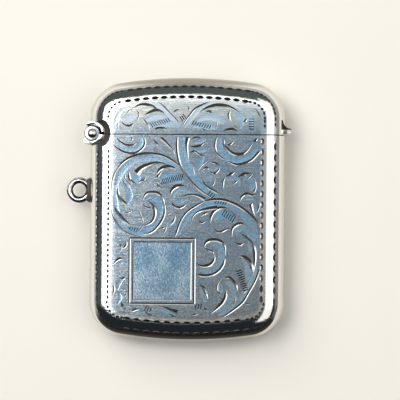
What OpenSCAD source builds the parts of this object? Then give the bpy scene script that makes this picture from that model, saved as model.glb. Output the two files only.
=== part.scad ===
// Silver vesta case: a flat, cushion-edged box for wax matches with a side-hinged lid.
// X runs across the case, Y from base to lid, Z from the back face to the front face.
// The origin is the middle of the back face. All sizes are in millimetres.

/* [Case] */
// Width across the straight sides
case_w = 34.8; // [32:0.1:40]
// Height from the top of the lid to the base, at the middle
case_h = 47; // [44:0.1:54]
// Thickness from back face to front face
case_t = 8; // [7.6:0.1:10]
// Corner radius in the front view
corner_r = 5.4; // [4.6:0.1:6.5]
// Radius of the bowed top and base
end_bow_r = 77.9; // [60:0.1:140]
// Radius of the rounded edge between a face and the sides
edge_r = 3.6; // [2.8:0.1:3.8]
// Sheet thickness
wall = 0.5; // [0.4:0.05:0.7]

/* [Lid] */
// Height of the lid above the seam
lid_h = 10; // [8.5:0.1:13]
// Open seam between lid and body
seam_gap = 0.16; // [0.1:0.02:0.3]
// How far the lid swings open
lid_open_angle = 90; // [60:1:92]

/* [Mouth collar] */
// Thickness of the collar
collar_t = 0.3; // [0.2:0.05:0.5]
// Height of the collar above the seam
collar_up = 1; // [0.6:0.1:1.6]
// Depth of the collar below the seam
collar_down = 1.8; // [1:0.1:3]
// Clearance round the collar
collar_gap = 0.06; // [0.04:0.01:0.12]

/* [Hinge] */
// Distance of the hinge axis inside the case's side
hinge_inset = 0.6; // [0.4:0.05:0.9]
// Diameter of the knuckles
knuckle_d = 2.9; // [2.5:0.05:3.1]
// Length of the whole hinge barrel
barrel_len = 6.2; // [5.4:0.1:6.8]
// Length of the lid's middle knuckle
lid_knuckle_len = 2.2; // [1.8:0.1:2.6]
// End play between neighbouring knuckles
knuckle_play = 0.1; // [0.05:0.01:0.2]
// Open ring between the knuckles and the bearings
bearing_gap = 0.28; // [0.2:0.02:0.36]
// Thickness of the two bearing plates
bearing_t = 0.46; // [0.3:0.02:0.6]
// Where the lid's bearing plate ends, in degrees from the +X side
lid_bearing_angle = 128; // [120:1:132]
// Angle left between the two bearing plates when the lid is fully open
stop_angle = 3; // [1:1:8]
// Angle between each bearing plate and the seam
bearing_side_angle = 2; // [1:1:6]
// Where the middle of the body's plate ends, to leave the spring its way
bearing_mid_angle = 285; // [260:1:295]
// Where the web between the lid's knuckle and its bearing plate starts
web_start_angle = 50; // [40:1:70]
// Where that web ends
web_end_angle = 115; // [90:1:120]
// Diameter of the hinge pin
pin_d = 1; // [0.8:0.05:1.2]
// Diameter of the pin's domed heads
pin_head_d = 1.7; // [1.5:0.05:2.1]
// Height of the pin's domed heads
pin_head_h = 0.4; // [0.25:0.05:0.5]
// Running clearance of the pin
pin_gap = 0.03; // [0.02:0.01:0.06]

/* [Snap spring] */
// Thickness of the leaf spring
spring_t = 0.22; // [0.15:0.01:0.3]
// Distance of the cam flats from the hinge axis
cam_flat = 1.2; // [1.1:0.02:1.3]
// Clearance between the spring and a cam flat
spring_gap = 0.03; // [0.02:0.01:0.06]
// Play at each side of the spring
spring_side_play = 0.2; // [0.1:0.05:0.4]
// Length of the spring's tip above the seam
spring_up = 0.9; // [0.6:0.1:1.1]
// Depth of the spring's lower bend below the seam
spring_bend = 2.6; // [2.4:0.1:3.4]
// Depth of the top of the spring's foot below the seam
spring_foot = 10.5; // [9:0.1:13]
// Length of the spring's foot
spring_foot_len = 4.5; // [3.5:0.1:6]
// Height of the block under the spring's foot
block_h = 0.6; // [0.45:0.05:0.8]
// Width of the block across the case
block_w = 2.2; // [2:0.1:3]
// Diameter of the rivet in the foot
rivet_d = 0.7; // [0.5:0.05:0.9]
// Diameter of the rivet's head
rivet_head_d = 1.25; // [1:0.05:1.6]
// Height of the rivet's head
rivet_head_h = 0.3; // [0.2:0.05:0.4]

/* [Striker] */
// Length of the striker in the base
striker_len = 18; // [12:0.5:22]
// Width of the striker
striker_w = 3.2; // [2.2:0.1:3.8]
// Thickness of the striker from its ridges to its back
striker_t = 0.8; // [0.65:0.05:1.2]
// Distance from ridge to ridge
ridge_pitch = 0.6; // [0.45:0.05:0.9]
// Depth of the grooves between the ridges
ridge_depth = 0.22; // [0.1:0.02:0.3]
// Clearance round the striker
striker_gap = 0.03; // [0.02:0.01:0.06]

/* [Thumbpiece] */
// How far the thumbpiece stands out of the side
thumb_out = 1.05; // [0.8:0.05:1.4]
// Height of the thumbpiece at its tip
thumb_tip_h = 0.95; // [0.7:0.05:1.2]
// Radius of the hollow above the thumbpiece
thumb_hollow_r = 1.45; // [1.2:0.05:1.8]
// Radius of the thumbpiece's outline, seen from the lid's top
thumb_round_r = 2.6; // [2.2:0.1:3.2]

/* [Suspension loop] */
// Diameter of the hole through the loop
loop_hole_d = 2.5; // [2.2:0.05:2.7]
// Thickness of the loop's wire
loop_wire = 1.1; // [0.9:0.05:1.3]
// How far the hole is drilled into the wire
loop_land = 0.06; // [0.03:0.01:0.12]
// How far the hole's middle stands out of the side
loop_out = 2; // [1.9:0.05:2.6]
// Height of the loop's middle above the middle of the case
loop_y = 3.4; // [0:0.1:6]
// Length of the foot along the side
foot_len = 4.7; // [4.2:0.1:5.6]
// Width of the foot
foot_w = 1.6; // [1.3:0.1:2.4]
// Thickness of the foot
foot_t = 0.5; // [0.4:0.05:0.6]

/* [Cartouche] */
// Side of the square cartouche, outside its frame
cartouche_side = 11.5; // [9:0.1:13]
// Distance of the cartouche's middle to the left of the case's middle
cartouche_left = 4.3; // [2:0.1:6]
// Distance of the cartouche's middle below the case's middle
cartouche_down = 10.8; // [8:0.1:12]
// Distance between the two lines of the cartouche's frame
cartouche_step = 0.7; // [0.5:0.05:1]
// Width of a line of the frame
cartouche_line = 0.2; // [0.15:0.05:0.3]
// Depth of a line of the frame
cartouche_cut = 0.1; // [0.05:0.01:0.15]

/* [Hidden] */
$fn = 96;

SILVER = "silver";
OLD_SILVER = "darkgray";
STEEL = "slategray";
GILT = "goldenrod";

half_w = case_w / 2;
half_h = case_h / 2;
mid_z = case_t / 2;
seam_y = half_h - lid_h;
lid_base_y = seam_y + seam_gap / 2;
body_rim_y = seam_y - seam_gap / 2;
// Anything longer than this reaches past the whole case
far = 2 * case_h;

// The corner arcs touch the straight sides and the bowed ends
corner_x = half_w - corner_r;
end_centre_y = half_h - end_bow_r;
corner_rise = sqrt(pow(end_bow_r - corner_r, 2) - corner_x * corner_x);
corner_y = end_centre_y + corner_rise;
// The bow's drop from the middle of an end to its corner, and bands wide enough to cover it
bow_drop = end_bow_r - corner_r - corner_rise;
band_w = corner_r + 2 * bow_drop;
// A wedge's rays are drawn this much longer than the distance to the corner's middle
ray_reach = 1.2;

hinge_x = hinge_inset - half_w;
barrel_z = mid_z - barrel_len / 2;
knuckle_r = knuckle_d / 2;
bearing_in_r = knuckle_r + bearing_gap;
bearing_out_r = bearing_in_r + bearing_t;
end_knuckle_len = (barrel_len - lid_knuckle_len) / 2 - knuckle_play;
full_turn = 360;
// The body's plate starts past the place that the lid's plate swings to
body_start_angle = lid_bearing_angle + lid_open_angle + stop_angle;
body_end_angle = full_turn - bearing_side_angle;
// A web reaches this far into its knuckle, so that the two join
web_sink = 0.1;

spring_w = lid_knuckle_len - 2 * spring_side_play;
spring_x = hinge_x + cam_flat + spring_gap;
inner_x = wall - half_w;
foot_x = inner_x + block_h;
foot_y = seam_y - spring_foot;
rivet_y = foot_y - spring_foot_len / 2;

// The striker's ridges lie level with the rounded edge at each side of the strip
striker_flank = max(striker_w / 2 - (case_t / 2 - edge_r), 0);
striker_sink = edge_r - sqrt(edge_r * edge_r - striker_flank * striker_flank);
base_bow_y = end_bow_r - half_h;
ridge_count = floor(striker_len / ridge_pitch);
ridge_step = striker_len / ridge_count;

loop_x = -half_w - loop_out;
loop_wire_r = loop_wire / 2;
loop_ring_r = loop_hole_d / 2 + loop_wire_r - loop_land;

// Half of the case's cross-section from the axis of a round end out to its edge
module rim_profile(reach, depth, inset) {
    e = edge_r - inset;
    low = inset;
    high = case_t - inset;
    translate([reach - depth, low]) square([depth - e, high - low]);
    if (high - low > 2 * e)
        translate([reach - e - wall, low + e]) square([e + wall, high - low - 2 * e]);
    translate([reach - e, low + e]) circle(e);
    translate([reach - e, high - e]) circle(e);
}

// A round-edged disc about the Z axis
module coin(radius, inset) {
    rotate_extrude() intersection() {
        rim_profile(radius, radius, inset);
        square([2 * radius, 2 * case_t]);
    }
}

// A ring with a round edge on its outside, about the Z axis
module rim_ring(radius, inset) {
    rotate_extrude() rim_profile(radius, band_w, inset);
}

// The bowed band along the top of the case
module end_band(inset) {
    intersection() {
        translate([0, end_centre_y, 0]) rim_ring(end_bow_r - inset, inset);
        linear_extrude(case_t) polygon([
            [0, end_centre_y],
            [corner_x * ray_reach, end_centre_y + corner_rise * ray_reach],
            [-corner_x * ray_reach, end_centre_y + corner_rise * ray_reach]
        ]);
    }
}

// The straight band along the right side of the case
module side_band(inset) {
    translate([half_w - inset, corner_y, 0]) rotate([90, 0, 0])
        linear_extrude(2 * corner_y) rim_profile(0, band_w, inset);
}

// The rounded corner at the top right
module corner(inset) {
    ray = ray_reach - 1;
    intersection() {
        translate([corner_x, corner_y, 0]) coin(corner_r - inset, inset);
        linear_extrude(case_t) polygon([
            [corner_x, corner_y],
            [corner_x + 2 * corner_r, corner_y],
            [corner_x + 2 * corner_r, corner_y + corner_rise * ray],
            [corner_x * ray_reach, corner_y + corner_rise * ray]
        ]);
    }
}

// The case's whole solid form, shrunk evenly by an inset
module cushion(inset) {
    union() {
        translate([-corner_x, -corner_y, inset])
            cube([2 * corner_x, 2 * corner_y, case_t - 2 * inset]);
        for (flip = [0, 1]) {
            mirror([flip, 0, 0]) side_band(inset);
            mirror([0, flip, 0]) end_band(inset);
        }
        for (flip_x = [0, 1], flip_y = [0, 1])
            mirror([flip_x, 0, 0]) mirror([0, flip_y, 0]) corner(inset);
    }
}

module case_sheet() {
    difference() {
        cushion(0);
        cushion(wall);
    }
}

module slab(y_from, y_to, z_from, z_to) {
    translate([-far, y_from, z_from]) cube([2 * far, y_to - y_from, z_to - z_from]);
}

// The opening in the sheet that the hinge fills
module hinge_notch(extra) {
    translate([hinge_x, seam_y, -case_t]) cylinder(r = bearing_out_r + extra, h = 3 * case_t);
}

module striker_window() {
    translate([-striker_len / 2 - striker_gap, -far, mid_z - striker_w / 2 - striker_gap])
        cube([striker_len + 2 * striker_gap, far - corner_y, striker_w + 2 * striker_gap]);
}

module body_sheet(z_from, z_to) {
    difference() {
        intersection() {
            case_sheet();
            slab(-far, body_rim_y, z_from, z_to);
        }
        hinge_notch(0);
        striker_window();
    }
}

module lid_sheet(z_from, z_to) {
    difference() {
        intersection() {
            case_sheet();
            slab(lid_base_y, far, z_from, z_to);
        }
        hinge_notch(0);
    }
}

// One line of the cartouche's frame, cut as a square ring
module frame_line(side) {
    translate([-cartouche_left, -cartouche_down, case_t - cartouche_cut])
        linear_extrude(2 * cartouche_cut) difference() {
            square(side, center = true);
            square(side - 2 * cartouche_line, center = true);
        }
}

module body_front_shell() {
    color(SILVER) difference() {
        body_sheet(mid_z, 2 * case_t);
        frame_line(cartouche_side);
        frame_line(cartouche_side - 2 * cartouche_step);
    }
}

module body_back_shell() {
    color(SILVER) body_sheet(-case_t, mid_z);
}

module lid_front_shell() {
    color(SILVER) lid_sheet(mid_z, 2 * case_t);
}

module lid_back_shell() {
    color(SILVER) lid_sheet(-case_t, mid_z);
}

module mouth_collar() {
    color(GILT) difference() {
        intersection() {
            difference() {
                cushion(wall + collar_gap);
                cushion(wall + collar_gap + collar_t);
            }
            slab(seam_y - collar_down, seam_y + collar_up, -case_t, 2 * case_t);
        }
        hinge_notch(collar_gap);
    }
}

// A ridged strip that follows the bow of the base
module striker_plate() {
    ridge_r = end_bow_r - striker_sink;
    back_r = ridge_r - striker_t;
    function bow(x, r) = [x, base_bow_y - sqrt(r * r - x * x)];
    teeth = [for (i = [0 : ridge_count - 1], part = [0, 0.5])
        let (x = -striker_len / 2 + (i + part) * ridge_step)
            bow(x, ridge_r - (part == 0 ? ridge_depth : 0))];
    last = [bow(striker_len / 2, ridge_r - ridge_depth)];
    back = [for (i = [0 : ridge_count]) bow(striker_len / 2 - i * ridge_step, back_r)];
    color(STEEL) translate([0, 0, mid_z - striker_w / 2])
        linear_extrude(striker_w) polygon(concat(teeth, last, back));
}

// A slice of a ring about the hinge axis
module hinge_sector(r_in, r_out, from, to, z_from, length) {
    translate([hinge_x, seam_y, z_from]) rotate([0, 0, from])
        rotate_extrude(angle = to - from) translate([r_in, 0]) square([r_out - r_in, length]);
}

module hinge_tube(z_from, length) {
    translate([hinge_x, seam_y, z_from]) difference() {
        cylinder(r = knuckle_r, h = length);
        translate([0, 0, -length]) cylinder(r = pin_d / 2 + pin_gap, h = 3 * length);
    }
}

module body_hinge_bearing() {
    color(SILVER) difference() {
        hinge_sector(bearing_in_r, bearing_out_r, body_start_angle, body_end_angle,
            barrel_z, barrel_len);
        hinge_sector(knuckle_r, bearing_out_r + bearing_t, bearing_mid_angle, full_turn,
            barrel_z + end_knuckle_len, barrel_len - 2 * end_knuckle_len);
    }
}

module body_knuckle(z_from) {
    color(SILVER) union() {
        hinge_tube(z_from, end_knuckle_len);
        hinge_sector(knuckle_r - web_sink, bearing_in_r, body_start_angle, body_end_angle,
            z_from, end_knuckle_len);
    }
}

module body_knuckle_front() {
    body_knuckle(barrel_z + barrel_len - end_knuckle_len);
}

module body_knuckle_back() {
    body_knuckle(barrel_z);
}

module lid_hinge_bearing() {
    color(SILVER) hinge_sector(bearing_in_r, bearing_out_r, bearing_side_angle, lid_bearing_angle,
        barrel_z, barrel_len);
}

// The lid's knuckle has two flats that the spring presses on, one shut and one open
module lid_knuckle() {
    z = mid_z - lid_knuckle_len / 2;
    color(SILVER) union() {
        difference() {
            hinge_tube(z, lid_knuckle_len);
            for (turn = [0, -lid_open_angle])
                translate([hinge_x, seam_y, 0]) rotate([0, 0, turn])
                    translate([cam_flat, -knuckle_d, -case_t])
                        cube([knuckle_d, 2 * knuckle_d, 3 * case_t]);
        }
        hinge_sector(knuckle_r - web_sink, bearing_in_r, web_start_angle, web_end_angle,
            z, lid_knuckle_len);
    }
}

// A pin with a domed head at each end
module hinge_pin() {
    head_r = pin_head_d / 2;
    dome_r = (head_r * head_r + pin_head_h * pin_head_h) / (2 * pin_head_h);
    seat = barrel_len / 2 + pin_gap;
    color(STEEL) translate([hinge_x, seam_y, mid_z]) union() {
        cylinder(r = pin_d / 2, h = 2 * seat, center = true);
        for (end = [0, 1]) mirror([0, 0, end]) intersection() {
            translate([0, 0, seat + pin_head_h - dome_r]) sphere(dome_r);
            translate([0, 0, seat]) cylinder(r = pin_head_d, h = pin_head_h * 2);
        }
    }
}

// A bent strip: flat on its block, then leaning in to lie along the lid's cam flat
module lid_spring() {
    outline = [
        [foot_x, foot_y - spring_foot_len],
        [foot_x + spring_t, foot_y - spring_foot_len],
        [foot_x + spring_t, foot_y],
        [spring_x + spring_t, seam_y - spring_bend],
        [spring_x + spring_t, seam_y + spring_up],
        [spring_x, seam_y + spring_up],
        [spring_x, seam_y - spring_bend],
        [foot_x, foot_y]
    ];
    color(STEEL) difference() {
        translate([0, 0, mid_z - spring_w / 2]) linear_extrude(spring_w) polygon(outline);
        rivet_hole();
    }
}

module rivet_hole() {
    translate([inner_x, rivet_y, mid_z]) rotate([0, 90, 0])
        cylinder(d = rivet_d + 2 * pin_gap, h = 3 * block_h);
}

module spring_block() {
    color(OLD_SILVER) difference() {
        intersection() {
            cushion(wall);
            translate([-half_w, foot_y - spring_foot_len, mid_z - block_w / 2])
                cube([wall + block_h, spring_foot_len, block_w]);
        }
        rivet_hole();
    }
}

module spring_rivet() {
    head_x = foot_x + spring_t + pin_gap;
    color(STEEL) translate([0, rivet_y, mid_z]) rotate([0, 90, 0]) union() {
        translate([0, 0, inner_x + pin_gap]) cylinder(d = rivet_d, h = head_x - inner_x - pin_gap);
        translate([0, 0, head_x]) cylinder(d1 = rivet_head_d, d2 = rivet_d, h = rivet_head_h);
    }
}

// A ring of round wire with a drilled hole, cut flat where it meets its foot
module suspension_loop() {
    color(SILVER) difference() {
        translate([loop_x, loop_y, mid_z]) rotate_extrude()
            translate([loop_ring_r, 0]) circle(loop_wire_r);
        translate([loop_x, loop_y, -case_t]) cylinder(d = loop_hole_d, h = 3 * case_t);
        translate([-half_w - foot_t, -far, -case_t]) cube([2 * far, 2 * far, 3 * case_t]);
    }
}

module loop_foot() {
    color(SILVER) difference() {
        translate([-half_w - foot_t, loop_y - foot_len / 2, mid_z - foot_w / 2])
            cube([foot_t + edge_r, foot_len, foot_w]);
        cushion(0);
    }
}

// A ledge on the lid's side with a hollow top and a round outline
module thumbpiece() {
    tip_x = half_w + thumb_out;
    root_h = thumb_tip_h + thumb_hollow_r;
    color(SILVER) difference() {
        intersection() {
            translate([0, 0, -case_t]) linear_extrude(3 * case_t) difference() {
                translate([half_w - edge_r, lid_base_y]) square([edge_r + thumb_out, root_h]);
                translate([half_w + thumb_hollow_r, lid_base_y + root_h]) circle(thumb_hollow_r);
            }
            translate([tip_x - thumb_round_r, lid_base_y - root_h, mid_z]) rotate([-90, 0, 0])
                cylinder(r = thumb_round_r, h = 3 * root_h);
        }
        cushion(0);
    }
}

body_front_shell();
body_back_shell();
mouth_collar();
striker_plate();
body_hinge_bearing();
body_knuckle_front();
body_knuckle_back();
hinge_pin();
lid_spring();
spring_block();
spring_rivet();
suspension_loop();
loop_foot();
lid_front_shell();
lid_back_shell();
lid_hinge_bearing();
lid_knuckle();
thumbpiece();
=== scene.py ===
"""Models an engraved silver vesta case, a pocket match case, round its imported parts.

Every piece is modelled in millimetres and then scaled to metres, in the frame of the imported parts:
X to the right of the front, Y towards the lid, Z from the back of the case to its front.
"""

import math
from contextlib import contextmanager
from functools import wraps
from types import SimpleNamespace

import bmesh
import bpy
from mathutils import Euler, Matrix, Vector


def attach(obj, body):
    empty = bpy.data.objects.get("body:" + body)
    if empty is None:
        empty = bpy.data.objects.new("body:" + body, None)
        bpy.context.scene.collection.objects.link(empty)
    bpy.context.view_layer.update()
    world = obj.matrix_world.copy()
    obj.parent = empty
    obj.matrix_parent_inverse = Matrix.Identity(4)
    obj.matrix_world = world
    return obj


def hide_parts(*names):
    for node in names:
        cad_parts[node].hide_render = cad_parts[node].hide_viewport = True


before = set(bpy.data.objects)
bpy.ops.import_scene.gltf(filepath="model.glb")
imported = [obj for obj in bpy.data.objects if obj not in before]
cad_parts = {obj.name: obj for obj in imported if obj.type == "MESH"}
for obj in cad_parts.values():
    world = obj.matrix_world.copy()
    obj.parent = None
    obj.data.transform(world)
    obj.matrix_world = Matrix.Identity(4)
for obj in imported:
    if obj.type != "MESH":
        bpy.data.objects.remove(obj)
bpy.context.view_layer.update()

bl_info = {
    "name": "Engraved Vesta Case",
    "version": (1, 0, 0),
    "blender": (4, 5, 0),
    "location": "View3D > Sidebar > Vesta",
    "description": "Models an engraved silver match case with a hinged lid round its packed parts",
    "category": "Object",
}

MM = 0.001
LAMP_DISTANCE = 0.55

# Depth of a V against half its width, for the graver's cuts, its fine ticks and the border's gouges
GRAVER_SLOPE = 0.10
TICK_SLOPE = 0.6
GOUGE_SLOPE = 0.35

# The graver leans: the bottom of its V lies this share of half the width towards the side that stays bright
GRAVER_LEAN = 0.5
# Walls that face this way are painted black as shade, and the narrow wall on this side is left bright
BRIGHT_SIDE = Vector((0.5, -0.87, 0.0))

# How far the broadest line of a cut's section stands above the face
CUT_LIFT = 0.003

# The cuts are this much broader than the widths in the lists below
CUT_SPREAD = 1.5

# The border's two rows of gouges, and how far a gouge in each leans to its bright wall, in its own depths
OUTER, INNER = 0, 1
ROW_LEANS = (1.3, 0.7)

# How much broader the outer row's leaning gouges are than the others
LEANING_SPREAD = 1.3

# How far apart the gouges stand. A pair is for the outer and the inner row
CORNER_PITCH = 0.85
RIGHT_PITCHES = (1.95, 1.85)
LEFT_PITCHES = (1.6, 0.92)
BASE_PITCH = 1.78
TOP_PITCH = 1.6

# The share of its pitch that a gouge may fill
GOUGE_FILL = 0.8

# How far the inner row is set in down the body's right and left sides
RIGHT_SHIFT = 0.42
LEFT_SHIFT = 0.15

# How far the gouges keep from the seam and from the hinge's axis
SEAM_CLEAR = 0.85
HINGE_CLEAR = 3.9

# Depth of a leaf's broad blade, and the share of its width that is left at its tips
BLADE_DEPTH = 0.007
BLADE_TIP = 0.45

# Width of a fine shading cut, and how far apart such cuts stand
HATCH_WIDTH = 0.18
HATCH_PITCH = 0.42

# Angles round the hinge's axis, in degrees, at which the body's lobe and the bridge between its halves end
LOBE_FROM, LOBE_TO = 205, 353
BRIDGE_FROM, BRIDGE_TO = 221, 281

# Kinds of graver cut: a line, one that swells in the middle, one that starts broad and runs out, a ruled one
LINE, SWELL, WEDGE, RULE = "line", "swell", "wedge", "rule"

# The engraver's cuts on the front: kind, width and the points along it, in millimetres from the middle
LID_LEFT_LEAF = (
    (SWELL, 0.30, ((-6, 19.6), (-5.1, 19.2), (-4.2, 18.4), (-3.3, 17.5), (-1.6, 15.7), (-1, 14.7))),
    (SWELL, 0.50, ((-9.4, 17.9), (-8.3, 18.6), (-6.9, 18.6), (-5.8, 18.2), (-5.2, 17.8))),
    (SWELL, 0.42, ((-7.4, 16.7), (-6.5, 17.2), (-5.4, 17.6), (-4.5, 17.4), (-3.8, 17))),
    (SWELL, 0.32, ((-11.5, 15.6), (-11.1, 15.1), (-10.4, 14.8), (-9.6, 15), (-9.1, 15.4))),
    (SWELL, 0.22, ((-9.1, 17.6), (-8.4, 17), (-8.5, 16.2), (-8.9, 15.4))),
    (SWELL, 0.35, ((-12, 15.7), (-12.2, 14.9), (-12, 14.1))),
    (SWELL, 0.25, ((-7.7, 16.2), (-7.2, 15.6), (-6.8, 15), (-6.4, 14.1))),
    (SWELL, 0.35, ((-5.6, 14), (-5.2, 14.4), (-4.5, 14.5), (-3.8, 14.4), (-3.3, 14))),
    (SWELL, 0.20, ((-10.9, 16.4), (-10.2, 17.4), (-9.1, 18.1))),
    (SWELL, 0.25, ((-12.8, 14.2), (-13.1, 15.5), (-12.6, 17.2), (-11.4, 18.6), (-9.8, 19.3), (-7.9, 19.5))),
)
LID_RIGHT_LEAF = (
    (
        SWELL,
        0.30,
        ((-0.8, 14.3), (-0.2, 15.6), (0.6, 16.7), (1.5, 17.8), (2.8, 18.6), (4.2, 19.2), (5.5, 19.6)),
    ),
    (SWELL, 0.25, ((-2.3, 17.1), (-1.9, 17.5), (-1.1, 17.8))),
    (SWELL, 0.25, ((0.2, 18.3), (0.5, 17.8), (0.6, 17.2))),
    (SWELL, 0.50, ((2.2, 17.2), (3.4, 18), (4.8, 18.5), (6, 18.6), (7.2, 18.4), (8.3, 17.9), (9.4, 17.2))),
    (SWELL, 0.40, ((3.4, 17.4), (4.1, 17.4), (4.6, 17.1))),
    (SWELL, 0.35, ((7.9, 17.6), (7.5, 17), (7.6, 16.3), (8.1, 15.5))),
    (SWELL, 0.40, ((10, 15.5), (10.4, 15.8), (10.8, 16.2))),
    (SWELL, 0.38, ((8.4, 19.7), (9.5, 19.2), (10.3, 18.9), (11, 18.6))),
    (SWELL, 0.35, ((11, 18.6), (11.8, 18.9), (12.6, 19.5))),
    (SWELL, 0.32, ((11.3, 18.5), (12.2, 17.8), (12.9, 16.8), (13.4, 15.8), (13.6, 15.3))),
    (SWELL, 0.38, ((6.5, 14), (7.5, 14.3), (8.3, 14.3), (9.1, 14))),
    (SWELL, 0.30, ((2.4, 14.5), (3, 14.2), (3.5, 14))),
    (SWELL, 0.16, ((5.6, 17), (5.5, 15.6), (5.3, 14))),
    (SWELL, 0.18, ((8.3, 15.2), (8.8, 14.6), (9.3, 14))),
)
STEM = (
    (LINE, 0.36, ((-1.5, 13), (-1.6, 11.6), (-1.4, 9.6), (-0.8, 7.6), (0.5, 5.6), (2.1, 3.9), (5.1, 1.9))),
    (WEDGE, 0.60, ((0.3, 12.8), (0.1, 11.3), (0.3, 9.7), (0.4, 8.3))),
    (SWELL, 0.38, ((2.9, 5.3), (3.4, 4.5), (4.1, 3.9), (5.2, 3.3), (6.1, 2.7))),
    (SWELL, 0.22, ((5.2, 5.8), (4.9, 4.6), (4.5, 4.1))),
    (WEDGE, 0.50, ((-4.5, 12.7), (-3.3, 11.6), (-2.3, 10.5), (-1.9, 9.4))),
    (SWELL, 0.32, ((-5.8, 12.5), (-5.2, 11.7), (-4.5, 11))),
)
RIGHT_HOOK = (
    (LINE, 0.28, ((5.5, 12.9), (5.2, 12.1), (5.3, 10.5), (6.1, 9.4), (7.3, 8.8))),
    (LINE, 0.38, ((7.5, 8.6), (8.8, 8.1), (10.2, 8.3), (11.5, 8.9), (12.6, 10), (13.6, 11.1))),
    (SWELL, 0.45, ((6.7, 12.5), (6.7, 11.7), (7.3, 10.8), (8.3, 10), (9.4, 9.9), (10.4, 10.2), (11.8, 11.9))),
    (SWELL, 0.30, ((6.8, 11.6), (7.7, 11.6), (8.6, 12.4))),
    (SWELL, 0.40, ((11.8, 12.1), (12.3, 12.4), (12.7, 12.9))),
)
RIGHT_LEAVES = (
    (SWELL, 0.36, ((0.7, 11.2), (1.5, 11.2), (2.5, 11.4), (3.3, 11.9))),
    (SWELL, 0.30, ((0.7, 10.1), (1.4, 10.4), (2.4, 9.8), (3.4, 9.7))),
    (SWELL, 0.36, ((4.2, 8.5), (5.1, 8.3), (6, 8.1))),
    (SWELL, 0.30, ((6.1, 7.8), (5.7, 7), (4.9, 6.5), (4.2, 7))),
    (SWELL, 0.30, ((4.2, 7), (3.7, 7.5), (2.8, 6.9))),
    (SWELL, 0.26, ((1.3, 7.7), (1.4, 6.7), (1.7, 6.1))),
    (SWELL, 0.20, ((4.4, 9), (3.3, 8.3), (2.5, 7.5), (2.1, 6.7))),
    (SWELL, 0.25, ((0.9, 12.5), (1.5, 12.8), (2.3, 12.8), (3, 12.4))),
)
SPRIG = (
    (SWELL, 0.45, ((8.7, 6.8), (8, 6.4), (7.1, 6))),
    (SWELL, 0.28, ((7.1, 6), (6.7, 5.3), (6.6, 4.5), (6.7, 3.7))),
    (SWELL, 0.48, ((9.1, 5.8), (10.2, 6.4), (11.5, 6.6))),
    (SWELL, 0.28, ((11.8, 6.4), (11.1, 5.8), (10.4, 5.3))),
    (SWELL, 0.30, ((9.5, 5.5), (8.8, 5), (8.5, 4.5))),
    (SWELL, 0.26, ((12.1, 5.7), (12.3, 4.7), (12.2, 3.5), (11.7, 2.9))),
    (SWELL, 0.42, ((9.6, 1.6), (9.9, 2.4), (10.6, 2.9), (11.8, 2.7), (12.3, 2.8))),
    (SWELL, 0.32, ((12.9, 1.9), (13, 1), (12.7, 0), (12.4, -0.5))),
    (WEDGE, 0.50, ((11.5, 1.2), (11.8, 0), (12.3, -1.1), (12.9, -2))),
)
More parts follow.
